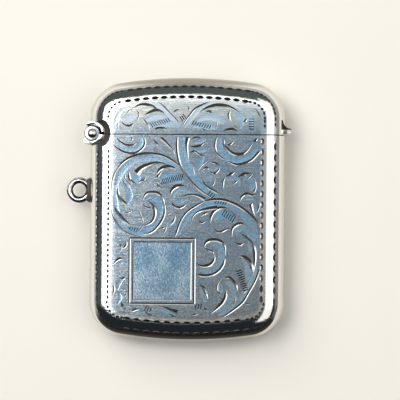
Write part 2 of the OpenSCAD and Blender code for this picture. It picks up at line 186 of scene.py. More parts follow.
RIGHT_SCROLL = (
    (LINE, 0.30, ((-1.8, -4.7), (-1.5, -3.8), (-1, -2.3), (-0.2, -0.9), (0.7, 0), (2.1, 0.9), (3.4, 1.6))),
    (
        LINE,
        0.42,
        ((3.4, 1.6), (5.1, 1.9), (6.7, 1.8), (8, 1.4), (9.6, 0.6), (11.3, -0.7), (12.5, -1.9), (13.6, -4.2)),
    ),
    (LINE, 0.22, ((13.6, -4.2), (13.7, -5.8), (13.7, -7.4))),
    (
        LINE,
        0.35,
        ((13.7, -8.5), (13.2, -10), (12.6, -11.8), (11.1, -14.6), (10.2, -16.1), (8.8, -17.3), (5.9, -19.4)),
    ),
    (WEDGE, 0.62, ((5.6, 0.5), (4.1, 0.3), (2.6, -0.1), (1.5, -0.9), (1, -2.3))),
    (SWELL, 0.52, ((4.4, -2.3), (4.6, -0.9), (5.5, 0.2), (6.4, 0.5), (7.3, 0.4))),
    (SWELL, 0.20, ((7.7, 0), (8.6, -0.8), (9.4, -1.9))),
    (SWELL, 0.32, ((4.9, -2.8), (5.7, -3.8), (6.5, -3.7), (7.3, -3.3), (8.2, -3.3))),
    (SWELL, 0.45, ((8.2, -4.6), (8.3, -3.2), (9, -2.5), (9.9, -2.3), (10.4, -2.5))),
    (
        SWELL,
        0.45,
        ((9.6, -3.9), (10.7, -4.7), (11.7, -5.6), (12.2, -6.9), (12.3, -8.2), (12.2, -9.7), (11.8, -11.7)),
    ),
    (SWELL, 0.62, ((9.5, -8), (10.4, -8.2), (11.3, -9), (11.8, -10.1), (11.9, -10.8))),
    (SWELL, 0.40, ((8.8, -5.6), (9.6, -6), (10.4, -5.7))),
    (SWELL, 0.32, ((2.7, -1.1), (3.4, -0.6), (4.3, -0.4))),
    (SWELL, 0.30, ((2.2, -1.6), (2.8, -2.2), (3.6, -2))),
    (SWELL, 0.50, ((3.4, -6.6), (3.5, -5.9), (4, -5.4), (4.9, -5.2), (6, -5.4), (6.8, -6), (7.1, -7.9))),
    (SWELL, 0.28, ((3.5, -6.6), (4.1, -7), (4.8, -7.3), (5.1, -7.8))),
    (SWELL, 0.45, ((2, -9.3), (2.8, -9.8), (3.7, -9.8), (4.5, -9.5), (5.1, -8.7), (5.2, -7.9))),
    (LINE, 0.42, ((2.1, -11.3), (2.9, -11.5), (4.4, -11.4), (5.7, -10.8), (6.7, -9.5), (7, -8.5))),
    (SWELL, 0.48, ((6.9, -12), (7.7, -11.8), (8.4, -12.4), (9, -13.2), (9.2, -14.2))),
    (SWELL, 0.26, ((6.4, -12), (5.7, -13.4), (6, -14.6), (6.7, -15))),
    (SWELL, 0.52, ((7.2, -13.9), (7.2, -15), (6.7, -16.1), (5.9, -17), (4.6, -18.2))),
    (SWELL, 0.28, ((11.1, -13.5), (10.6, -14.2), (10, -14.9))),
    (SWELL, 0.20, ((9, -14.7), (8.9, -15.8), (8.8, -16.5))),
    (SWELL, 0.42, ((2.5, -13.1), (3.2, -13.6), (3.7, -14.7), (4.1, -15.7))),
    (SWELL, 0.32, ((3.3, -17), (3.7, -17.5), (4.1, -17.8))),
    (SWELL, 0.25, ((0.7, -18.4), (1.8, -18.4), (2.5, -18.2))),
    (SWELL, 0.32, ((10.2, -18.6), (10.7, -18.5), (11.3, -18.2))),
    (SWELL, 0.22, ((10.4, -16.6), (11, -16.4), (11.7, -16.5))),
)
LEFT_HOOK = (
    (
        LINE,
        0.36,
        ((-12.9, 11.4), (-11.8, 10.5), (-10.4, 10), (-9.2, 10), (-8, 10.6), (-7.3, 11.7), (-7.4, 12.7)),
    ),
    (SWELL, 0.38, ((-12.3, 12.7), (-11.6, 11.9), (-10.7, 11.4), (-9.6, 11.4), (-8.7, 11.8))),
    (SWELL, 0.25, ((-9.8, 12.9), (-9.6, 12.5), (-9.4, 12))),
)
LEFT_SCROLL = (
    (
        LINE,
        0.36,
        (
            (-1, 7.7), (-2.6, 8.8), (-4.2, 9.6), (-5.8, 9.9),
            (-7.6, 9.9), (-9.4, 9.4), (-11, 8.5), (-12.2, 7.1),
        ),
    ),
    (
        LINE,
        0.36,
        ((-12.2, 7.1), (-12.9, 5.7), (-13.2, 3.9), (-13.3, 1.4), (-13, -0.7), (-12.3, -2.1), (-11.2, -3.6)),
    ),
    (LINE, 0.30, ((-11.2, -3.6), (-9.9, -4.3), (-8.5, -4.7))),
    (WEDGE, 0.75, ((-8.8, 6.5), (-8, 7.3), (-6.8, 7.9), (-5.3, 8.3), (-3.8, 8.1), (-3, 7.9))),
    (SWELL, 0.52, ((-5.2, 6.2), (-4.6, 7.1), (-3.6, 7.6), (-2.3, 7.5), (-1.7, 7))),
    (SWELL, 0.42, ((-10, 6.8), (-10, 5.8), (-9.6, 5), (-8.7, 4.6))),
    (SWELL, 0.26, ((-7.1, 6.2), (-7.2, 5.5), (-8.1, 5), (-8.4, 4.5))),
    (SWELL, 0.25, ((-8.7, 5.7), (-8.2, 6.3), (-7.6, 6.9))),
    (SWELL, 0.50, ((-12, 4.1), (-12, 3.1), (-11.5, 1.9), (-10.7, 1.1), (-10.2, 0.7))),
    (SWELL, 0.52, ((-12.6, 1), (-12.3, 0), (-11.6, -1.1), (-10.7, -2), (-9.6, -2.8))),
    (SWELL, 0.26, ((-11, -0.5), (-10.2, -0.5), (-9.1, -0.1))),
    (SWELL, 0.45, ((-7.6, 1.8), (-6.9, 2.9), (-5.8, 3.1), (-4.9, 2.9), (-4.1, 2), (-3.7, 0.8))),
    (LINE, 0.34, ((-3.7, 0.8), (-3.7, -0.5), (-4.1, -1.7), (-4.9, -2.9), (-6, -3.9), (-7.6, -4.4))),
    (
        SWELL,
        0.40,
        ((-6.8, 1.8), (-6.1, 1.1), (-5.6, 0.4), (-5.4, -0.5), (-5.8, -1.9), (-6.5, -2.5), (-7.3, -2.9)),
    ),
    (SWELL, 0.28, ((-7.5, 1.1), (-7.2, 0.6), (-6.4, 0.4), (-5.7, 0.6))),
    (SWELL, 0.22, ((-8.4, 0.6), (-8, -0.7), (-7.6, -1.7), (-7.4, -2.3))),
    (SWELL, 0.22, ((-7.4, -2.7), (-8, -3.5), (-8.5, -4.3))),
    (SWELL, 0.22, ((-11.4, 6), (-11.1, 5.1), (-10.4, 4), (-9.7, 3), (-9.8, 2))),
    (SWELL, 0.22, ((-10.5, 6.7), (-10.8, 6), (-10.2, 4.7), (-9.4, 3.9))),
)
MIDDLE_LEAVES = (
    (SWELL, 0.32, ((-5.4, 5.7), (-4.9, 6), (-4.2, 6.9))),
    (SWELL, 0.32, ((-5, 5.1), (-4.8, 4.2), (-4, 3.7))),
    (SWELL, 0.52, ((-2.7, 2.6), (-2.5, 3.4), (-1.8, 4.1), (-0.9, 4.3), (0.1, 4))),
    (WEDGE, 0.50, ((3.4, 1.9), (2, 2.6), (0.7, 2.7), (-0.5, 2.4), (-1.4, 2.3))),
    (SWELL, 0.38, ((-2.5, 1.6), (-2.1, 0.8), (-1.3, 0.4), (-0.5, 0.6), (0.2, 1.1))),
    (SWELL, 0.38, ((-1.8, -0.9), (-2.1, -1.9), (-2.9, -2.9))),
    (SWELL, 0.20, ((-3.4, -0.9), (-3, -0.7), (-2.5, -0.5))),
    (SWELL, 0.30, ((-4.8, -3.3), (-4, -3.2), (-3.3, -2.9))),
    (SWELL, 0.25, ((-3.1, -2.1), (-3.5, -3.4), (-4, -4.6))),
)
LOW_LEAVES = (
    (SWELL, 0.40, ((-12.9, -9.9), (-12, -8.9), (-11.6, -8.7), (-10.8, -8.7))),
    (SWELL, 0.40, ((-11.6, -12), (-11, -12.2), (-10.4, -11.8))),
    (SWELL, 0.40, ((-12.6, -12.8), (-12.6, -14.2), (-12.9, -15.5))),
    (SWELL, 0.42, ((-11.2, -16.2), (-11, -17), (-10.3, -17.8))),
    (SWELL, 0.22, ((-11, -15.7), (-10.5, -15.1), (-10.2, -14.6))),
    (SWELL, 0.36, ((-10.4, -5.4), (-10.5, -6.3), (-11.4, -7.1))),
    (SWELL, 0.24, ((-11.8, -5.8), (-11.3, -6.7), (-11.7, -7.8))),
    (WEDGE, 0.62, ((-1.3, -18), (-2.3, -17.7), (-3.6, -17.2), (-5.4, -16.9))),
    (SWELL, 0.32, ((-7.3, -17.7), (-6.3, -18.5), (-4.6, -18.9))),
    (SWELL, 0.32, ((-2.9, -18.1), (-2.1, -18.8), (-1, -19))),
    (SWELL, 0.40, ((-9.6, -18.2), (-8.9, -17.7), (-7.9, -17.6))),
)
LID_CUTS = LID_LEFT_LEAF + LID_RIGHT_LEAF
BODY_CUTS = (
    STEM
    + RIGHT_HOOK
    + RIGHT_LEAVES
    + SPRIG
    + RIGHT_SCROLL
    + LEFT_HOOK
    + LEFT_SCROLL
    + MIDDLE_LEAVES
    + LOW_LEAVES
)

# Rows of fine shading cuts: middle of the row, its length, length of a cut, slope of the row, slope of a cut
LID_HATCHES = (
    ((-4.6, 15.4), 3.6, 0.85, 17, 125),
    ((-0.6, 16.3), 1.1, 0.9, 40, 125),
    ((2.7, 15.0), 3.5, 0.8, -15, 60),
    ((11.5, 15.2), 2.2, 0.9, 90, 0),
)
BODY_HATCHES = (
    ((-2.4, 5.4), 4.0, 1.2, 12, 70),
    ((4.5, 2.7), 1.4, 0.9, -40, 50),
    ((6.2, 1.3), 2.2, 0.6, -6, 60),
    ((7.6, -1.0), 2.6, 1.2, -35, 60),
    ((10.1, -12.3), 4.0, 1.0, -70, 20),
    ((-9.2, -3.5), 1.8, 0.7, -12, 70),
    ((2.4, -17.0), 1.4, 0.9, 10, 80),
    ((-6.5, -17.5), 1.3, 0.8, -15, 75),
)

# Broad shallow blades that make the leaves and scrolls: width at the start, width at the end, points along it
LID_BLADES = (
    (1.3, 1.5, ((-6.9, 14.9), (-5.5, 15.2), (-4.0, 15.2), (-2.6, 14.9))),
    (1.4, 1.3, ((1.2, 14.8), (2.6, 15.0), (4.0, 14.8), (5.2, 14.5))),
    (
        0.9,
        1.3,
        ((-1.2, 14.6), (-2.5, 16.3), (-4, 17.8), (-5.9, 18.9), (-8, 19.1), (-10.2, 18.5), (-11.8, 17.2)),
    ),
    (1.3, 0.8, ((-11.8, 17.2), (-12.6, 15.6), (-12.6, 14.2))),
    (1.6, 0.8, ((-7.3, 15.7), (-5.6, 16.4), (-3.8, 16.1), (-2.2, 14.6))),
    (1.9, 1.2, ((-11.3, 16), (-10, 16.2), (-8.9, 16.4))),
    (0.9, 1.3, ((-0.3, 14.5), (0.7, 16), (2.1, 17.6), (4, 18.8), (6, 19.2), (8.2, 18.8), (10, 17.8))),
    (1.3, 0.8, ((10, 17.8), (11.2, 16.2), (11.6, 14.4))),
    (1.0, 1.8, ((1.4, 15.4), (3.4, 16.4), (5, 16.4), (6.8, 15.4))),
    (1.6, 1.0, ((8.4, 17), (9.3, 16.5), (9.8, 15.6), (9.4, 14.4))),
)
LEFT_SCROLL_BLADES = (
    (1.0, 1.5, ((-0.9, 7), (-2.4, 8.2), (-4.6, 9.1), (-7.2, 9.1), (-9.8, 8.3), (-11.6, 6.4), (-12.5, 3.8))),
    (
        1.5,
        1.3,
        ((-12.5, 3.8), (-12.6, 1), (-12, -1.4), (-10.6, -3.2), (-8.6, -3.9), (-6.4, -3.4), (-4.9, -1.9)),
    ),
    (1.3, 0.7, ((-4.9, -1.9), (-4.5, 0.2), (-5.1, 1.7), (-6.2, 2.3), (-7, 1.8))),
    (2.0, 1.2, ((-9.2, 6.3), (-8.7, 5.5), (-8.4, 4.6))),
    (1.0, 1.3, ((-11, 5.6), (-10.4, 4), (-9.9, 2.4), (-10.4, 0.9))),
)
BODY_BLADES = LEFT_SCROLL_BLADES + (
    (1.8, 1.5, ((-0.6, 12.9), (-0.7, 11.2), (-0.4, 9.2), (0.4, 7.2), (1.8, 5.2), (3.6, 3.6), (5.8, 2.2))),
    (2.2, 1.4, ((-4.7, 5.3), (-3.2, 5.9), (-1.6, 5.5), (-0.3, 5))),
    (0.9, 0.7, ((-2.2, 2), (-1.9, 3.2), (-0.9, 3.7), (0.6, 3.3), (2.4, 2.7))),
    (1.3, 0.8, ((-1.9, 1.4), (-1, 1.6), (0.4, 1.9))),
    (0.8, 1.2, ((-12.5, 12), (-11.4, 11), (-10.1, 10.6), (-8.9, 10.7), (-8.1, 11.5), (-8, 12.6))),
    (1.0, 1.3, ((6, 12.8), (5.9, 11.2), (6.7, 9.8), (8.2, 9), (9.8, 9), (11.4, 9.8), (12.7, 11.4))),
    (1.3, 0.8, ((1.3, 11.9), (2.4, 12.2), (3.5, 12.4))),
    (1.2, 0.8, ((1.4, 10.8), (2.6, 10.6), (3.7, 10.6))),
    (1.2, 0.8, ((3.1, 9.4), (2.6, 8.4), (2.3, 7.2))),
    (1.1, 0.8, ((4.4, 7.7), (5.1, 7.4), (5.6, 7.6))),
    (1.3, 0.9, ((3.3, 6.6), (4, 6), (4.4, 5))),
    (1.0, 0.8, ((7.3, 5.4), (8.2, 5.9), (9.2, 5.2), (9.4, 4.2))),
    (1.0, 0.8, ((10.2, 5.6), (11.3, 5.6), (11.8, 4.4), (11.3, 3.4))),
    (0.9, 0.7, ((10.2, 2), (11, 2.2), (12, 2.1))),
    (0.8, 0.6, ((12.2, 0.9), (12.3, 0), (12.6, -1))),
    (1.0, 1.4, ((-1.1, -4.3), (-0.6, -2.6), (0.4, -1), (1.8, 0.2), (3.6, 1), (5.6, 1.2), (7.6, 0.9))),
    (1.4, 1.2, ((7.6, 0.9), (9.4, -0.1), (11, -1.6), (12.2, -3.4), (12.9, -5.6), (13, -7.8), (12.7, -9.8))),
    (1.2, 0.9, ((12.7, -9.8), (12, -12), (11, -13.9), (9.6, -15.8), (7.8, -17.4), (5.6, -18.8))),
    (2.2, 1.2, ((4.9, -1.6), (5.8, -0.7), (7, -0.8), (8.2, -1.6), (8.7, -2.6))),
    (1.1, 1.1, ((9, -4.4), (9.2, -3.4), (10.2, -3.1), (11.4, -4.2), (11.6, -6), (11.4, -7.2))),
    (1.1, 1.1, ((9.9, -8.6), (10.8, -9.4), (11.1, -11), (10.6, -12.8))),
    (1.0, 1.4, ((4.4, -6.3), (5.4, -6), (6.3, -6.9), (6.4, -8.4), (5.7, -9.9), (4.2, -10.7), (2.6, -10.5))),
    (1.0, 1.2, ((7, -12.8), (8, -13), (8.4, -14.2), (8, -15.6), (6.9, -16.8), (5.4, -17.9))),
    (0.9, 0.8, ((6.3, -13), (6.3, -14), (6.6, -14.6))),
    (1.0, 0.8, ((2.7, -14), (3.3, -15), (3.6, -16.2))),
    (0.9, 0.7, ((-1.6, -18.4), (-3.4, -17.8), (-5.2, -17.5))),
    (0.8, 0.7, ((-9.2, -17.9), (-8.4, -18.1), (-7.4, -18.2))),
    (0.8, 0.7, ((-12.2, -9.6), (-11.4, -9.3), (-10.7, -9.3))),
    (1.0, 0.8, ((-12, -14.2), (-11.6, -12.9), (-11, -12.4))),
    (0.9, 0.8, ((-12, -16.8), (-11.5, -15.6), (-11.6, -14.8))),
    (0.9, 0.7, ((-2.4, -1.4), (-2.8, -2.6), (-3.4, -3.2))),
)


def length(name, millimetres, description):
    """A property for a length, given in millimetres and kept in metres."""
    return bpy.props.FloatProperty(
        name=name,
        description=description,
        default=millimetres * MM,
        min=0.0,
        unit="LENGTH",
        precision=5,
    )


def colour(name, red_green_blue, description):
    """A property for a colour, in linear light."""
    return bpy.props.FloatVectorProperty(
        name=name,
        description=description,
        default=(*red_green_blue, 1.0),
        size=4,
        min=0.0,
        max=1.0,
        subtype="COLOR",
    )


class VestaSizes(bpy.types.PropertyGroup):
    """Lengths of the case and its pieces."""

    half_width: length("Half width", 17.394, "From the middle to the outside of a long side")
    half_height: length("Half height", 23.494, "From the middle to the top of an end's bow")
    thickness: length("Thickness", 8.0, "From the back of the case to its front")
    corner_radius: length("Corner radius", 6.394, "Radius of a corner, seen from the front")
    corner_x: length("Corner centre X", 11.0, "From the middle to the centre of a corner's round")
    corner_y: length("Corner centre Y", 16.249, "From the middle to the centre of a corner's round")
    bow_radius: length("End bow radius", 77.894, "Radius of the slight bow of the two ends")
    edge_radius: length("Edge radius", 3.6, "Radius of the rounded edge between a face and a side")
    face_rise: length("Face rise", 0.03, "How far the face rises from its rounded edge to its flat middle")
    face_rim: length("Face rim", 1.6, "Width of the rim over which the face rises")
    wall: length("Wall", 0.5, "Thickness of the silver sheet")
    hinge_y: length("Hinge height", 13.5, "From the middle to the hinge's axis, towards the lid")
    seam_drop: length("Seam drop", 0.18, "From the hinge's axis down to the middle of the seam")
    seam_gap: length("Seam gap", 0.18, "Width of the gap between the body and the lid")
    hinge_x: length("Hinge offset", 16.8, "From the middle to the hinge's axis, to the left")
    hinge_notch: length("Hinge notch", 2.19, "Radius of the notch round the hinge")
    hinge_dish: length("Hinge dish", 3.5, "Radius to which the rim of the notch is worn and dished")
    border_outer: length("Outer border row", 1.67, "From the outline to the outer row of gouges")
    border_inner: length("Inner border row", 3.53, "From the outline to the inner row of gouges")
    gouge_length: length("Gouge length", 1.35, "Length of one border gouge")
    gouge_width: length("Gouge width", 0.68, "Width of one border gouge")
    barrel_end: length("Barrel end", 0.9, "From a face of the case to the end of the hinge's barrel")
    knuckle_length: length("Knuckle length", 1.9, "Length of one of the body's knuckles")
    knuckle_radius: length("Knuckle radius", 1.45, "Outside radius of the knuckles")
    plate_inside: length("Plate inside", 1.73, "Inside radius of the plates that bear on the shells")
    plate_outside: length("Plate outside", 2.17, "Outside radius of those plates")
    pin_radius: length("Pin radius", 0.5, "Radius of the hinge pin")
    pin_head: length("Pin head", 0.85, "Radius of the pin's domed heads")
    pin_rise: length("Pin rise", 0.43, "Height of the pin's domed heads")
    loop_x: length("Loop offset", 19.4, "From the middle to the ring's centre, to the left")
    loop_y: length("Loop height", 3.4, "From the middle to the ring's centre, towards the lid")
    loop_radius: length("Loop radius", 1.735, "Radius of the ring, to the middle of its wire")
    loop_wire: length("Loop wire", 0.55, "Radius of the ring's wire")
    foot_x: length("Foot offset", 17.9, "From the middle to the outside of the ring's foot, to the left")
    foot_length: length("Foot length", 4.7, "Length of the ring's foot along the side")
    foot_width: length("Foot width", 1.6, "Width of the ring's foot across the side")
    thumb_reach: length("Thumbpiece reach", 18.45, "From the middle to the tip of the thumbpiece")
    thumb_height: length("Thumbpiece height", 2.4, "Height of the thumbpiece at the side of the lid")
    thumb_tip: length("Thumbpiece tip", 0.95, "Height of the thumbpiece at its tip")
    thumb_hollow: length("Thumbpiece hollow", 1.45, "Radius of the hollow that the thumb pushes in")
    thumb_plan: length("Thumbpiece plan", 2.6, "Radius of the thumbpiece seen from its end")
    cartouche_side: length("Cartouche side", 11.5, "Side of the outer line round the blank square")
    cartouche_step: length("Cartouche step", 0.7, "From the outer line to the inner one")
    cartouche_x: length("Cartouche left", 4.1, "From the middle to the cartouche's middle, to the left")
    cartouche_y: length("Cartouche low", 10.8, "From the middle to the cartouche's middle, downwards")
    frame_line: length("Frame line", 0.42, "Width of a line of the cartouche's frame")
    striker_length: length("Striker opening length", 18.06, "Length of the striker's opening in the base")
    striker_width: length("Striker opening width", 3.26, "Width of the striker's opening in the base")


class VestaFinishes(bpy.types.PropertyGroup):
    """Colours of the metals and the floor."""

    silver: colour("Silver", (0.90, 0.89, 0.87), "Polished silver")
    tarnish: colour("Tarnish", (0.30, 0.27, 0.235), "Grey-brown tarnish on the silver")
    sides: colour("Sides", (0.66, 0.64, 0.575), "Slightly tarnished silver of the sides")
    # Painted shade: the ends colour darkens the rims of the two ends, for the darker reflection there
    ends: colour("Ends", (0.385, 0.37, 0.325), "More tarnished silver of the two ends")
    mottle: colour("Mottle", (0.32, 0.35, 0.38), "Darker mottling of the dull ground")
    ground: colour("Ground", (0.52, 0.565, 0.60), "Dull silver of the ground between the body's leaves")
    # Painted light: the lid's ground and leaves are made lighter, for the brighter light over the lid
    lid_ground: colour("Lid ground", (0.80, 0.76, 0.69), "Well rubbed silver between the lid's leaves")
    # Painted reflection: the leaves' blue tint stands in for the blue overhead they reflect
    leaf: colour("Leaves", (0.70, 0.88, 1.0), "Burnished silver of the leaves and scrolls")
    lid_leaf: colour("Lid leaves", (1.0, 1.0, 1.0), "Burnished silver of the lid's leaves")
    # Painted reflection: the cartouche's blue tint stands in for the blue overhead it reflects
    panel: colour("Cartouche", (0.43, 0.61, 0.77), "Silver of the blank cartouche")
    rubbed: colour("Rub marks", (0.97, 1.0, 1.0), "Rub marks on the blank cartouche")
    bright_cut: colour("Bright cuts", (0.42, 0.42, 0.41), "Less polished silver of the cuts' bright walls")
    # Oxide is also painted as shade on one wall of each cut, over the base's edge and along the collar's seam
    oxide: colour("Oxide", (0.05, 0.045, 0.04), "Black oxide in the depth of the cuts")
    gilt: colour("Gilding", (0.86, 0.62, 0.28), "Gilding inside the case")
    steel: colour("Steel", (0.42, 0.41, 0.40), "Steel of the striker")
    spring: colour("Spring steel", (0.30, 0.31, 0.34), "Blued spring steel")
    floor: colour("Floor", (0.95, 0.91, 0.84), "Plain pale floor under the case")


def in_millimetres(group):
    """The lengths of a property group in millimetres, by their names."""
    return SimpleNamespace(**{name: getattr(group, name) / MM for name in group.__annotations__})


def deselect():
    """Leaves nothing selected, in object mode."""
    bpy.ops.object.select_all(action="DESELECT")


def choose(*pieces):
    """Selects only these pieces, and makes the first one active."""
    deselect()
    for piece in pieces:
        piece.select_set(True)
    bpy.context.view_layer.objects.active = pieces[0]


@contextmanager
def editing(piece):
    """Edit mode on one piece with nothing selected in it, for the length of a with block."""
    choose(piece)
    bpy.ops.object.mode_set(mode="EDIT")
    bpy.ops.mesh.select_all(action="DESELECT")
    yield
    bpy.ops.object.mode_set(mode="OBJECT")


def select_where(piece, parts, test):
    """In edit mode, selects the piece's faces, edges or vertices that pass a test."""
    mesh = bmesh.from_edit_mesh(piece.data)
    for part in getattr(mesh, parts):
        part.select_set(False)
    for part in getattr(mesh, parts):
        if test(part):
            part.select_set(True)
    mesh.select_flush_mode()
    bmesh.update_edit_mesh(piece.data)


def apply_modifier(piece, kind, **values):
    """Adds a modifier with these values and applies it."""
    choose(piece)
    modifier = piece.modifiers.new(kind.title(), kind)
    for name, value in values.items():
        setattr(modifier, name, value)
    bpy.ops.object.modifier_apply(modifier=modifier.name)


def settle(piece, node, body, sharp=30.0):
    """Finishes a piece: metres, smooth shading, its body and the node it stands for."""
    choose(piece)
    piece.name = "finished_" + node
    piece.data.name = piece.name
    piece.scale = (MM, MM, MM)
    piece.location *= MM
    bpy.ops.object.transform_apply(location=True, rotation=True, scale=True)
    bpy.ops.object.shade_smooth_by_angle(angle=math.radians(sharp))
    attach(piece, body)
    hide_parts(node)


def on_circle(centre, radius, degrees):
    """The point of a circle at an angle."""
    angle = math.radians(degrees)
    return centre[0] + radius * math.cos(angle), centre[1] + radius * math.sin(angle)


def arc(centre, radius, start, end, steps):
    """Points along an arc, angles in degrees, without its last point."""
    return [on_circle(centre, radius, start + (end - start) * k / steps) for k in range(steps)]


def case_outline(sizes, inset=0.0):
    """The case's outline seen from the front, anticlockwise, drawn in by an inset."""
    x, y = sizes.corner_x, sizes.corner_y
    corner = sizes.corner_radius - inset
    bow = sizes.bow_radius - inset
    bow_y = sizes.half_height - sizes.bow_radius
    lean = math.degrees(math.atan2(x, y - bow_y))
    return (
        arc((x, y), corner, 0, 90 - lean, 18)
        + arc((0, bow_y), bow, 90 - lean, 90 + lean, 48)
        + arc((-x, y), corner, 90 + lean, 180, 18)
        + arc((-x, -y), corner, 180, 270 - lean, 18)
        + arc((0, -bow_y), bow, 270 - lean, 270 + lean, 48)
        + arc((x, -y), corner, 270 + lean, 360, 18)
    )


def cushion_rings(sizes):
    """Insets and heights of the rings that shape half of the case, from the middle of its sides up."""
    middle = sizes.thickness / 2
    round_top = sizes.thickness - sizes.face_rise
    rings = [(0.0, middle)]
    steps = 16
    for step in range(steps + 1):
        angle = math.radians(90) * step / steps
        inset = sizes.edge_radius * (1 - math.cos(angle))
        rings.append((inset, round_top - sizes.edge_radius * (1 - math.sin(angle))))
    rises = 4
    for step in range(1, rises + 1):
        share = step / rises
        height = round_top + sizes.face_rise * (1 - (1 - share) ** 2)
        rings.append((sizes.edge_radius + sizes.face_rim * share, height))
    return rings


def cushion_half(sizes):
    """The front half of the case's outside as an open skin, from the middle of its sides to its face."""
    rings = cushion_rings(sizes)
    middle = sizes.thickness / 2
    deselect()
    bpy.ops.mesh.primitive_circle_add(vertices=len(case_outline(sizes)), fill_type="NGON")
    skin = bpy.context.object
    with editing(skin):
        bpy.ops.mesh.select_all(action="SELECT")
        for number, (inset, height) in enumerate(rings):
            if number > 0:
                bpy.ops.mesh.extrude_region_move()
            mesh = bmesh.from_edit_mesh(skin.data)
            face = next(face for face in mesh.faces if face.select)
            for vertex, (x, y) in zip(face.verts, case_outline(sizes, inset)):
                vertex.co = (x, y, height)
            bmesh.update_edit_mesh(skin.data)
        bpy.ops.mesh.select_all(action="SELECT")
        bpy.ops.mesh.normals_make_consistent(inside=False)
        select_where(skin, "faces", lambda f: f.calc_center_median().z < middle + 0.001)
        bpy.ops.mesh.delete(type="FACE")
    return skin


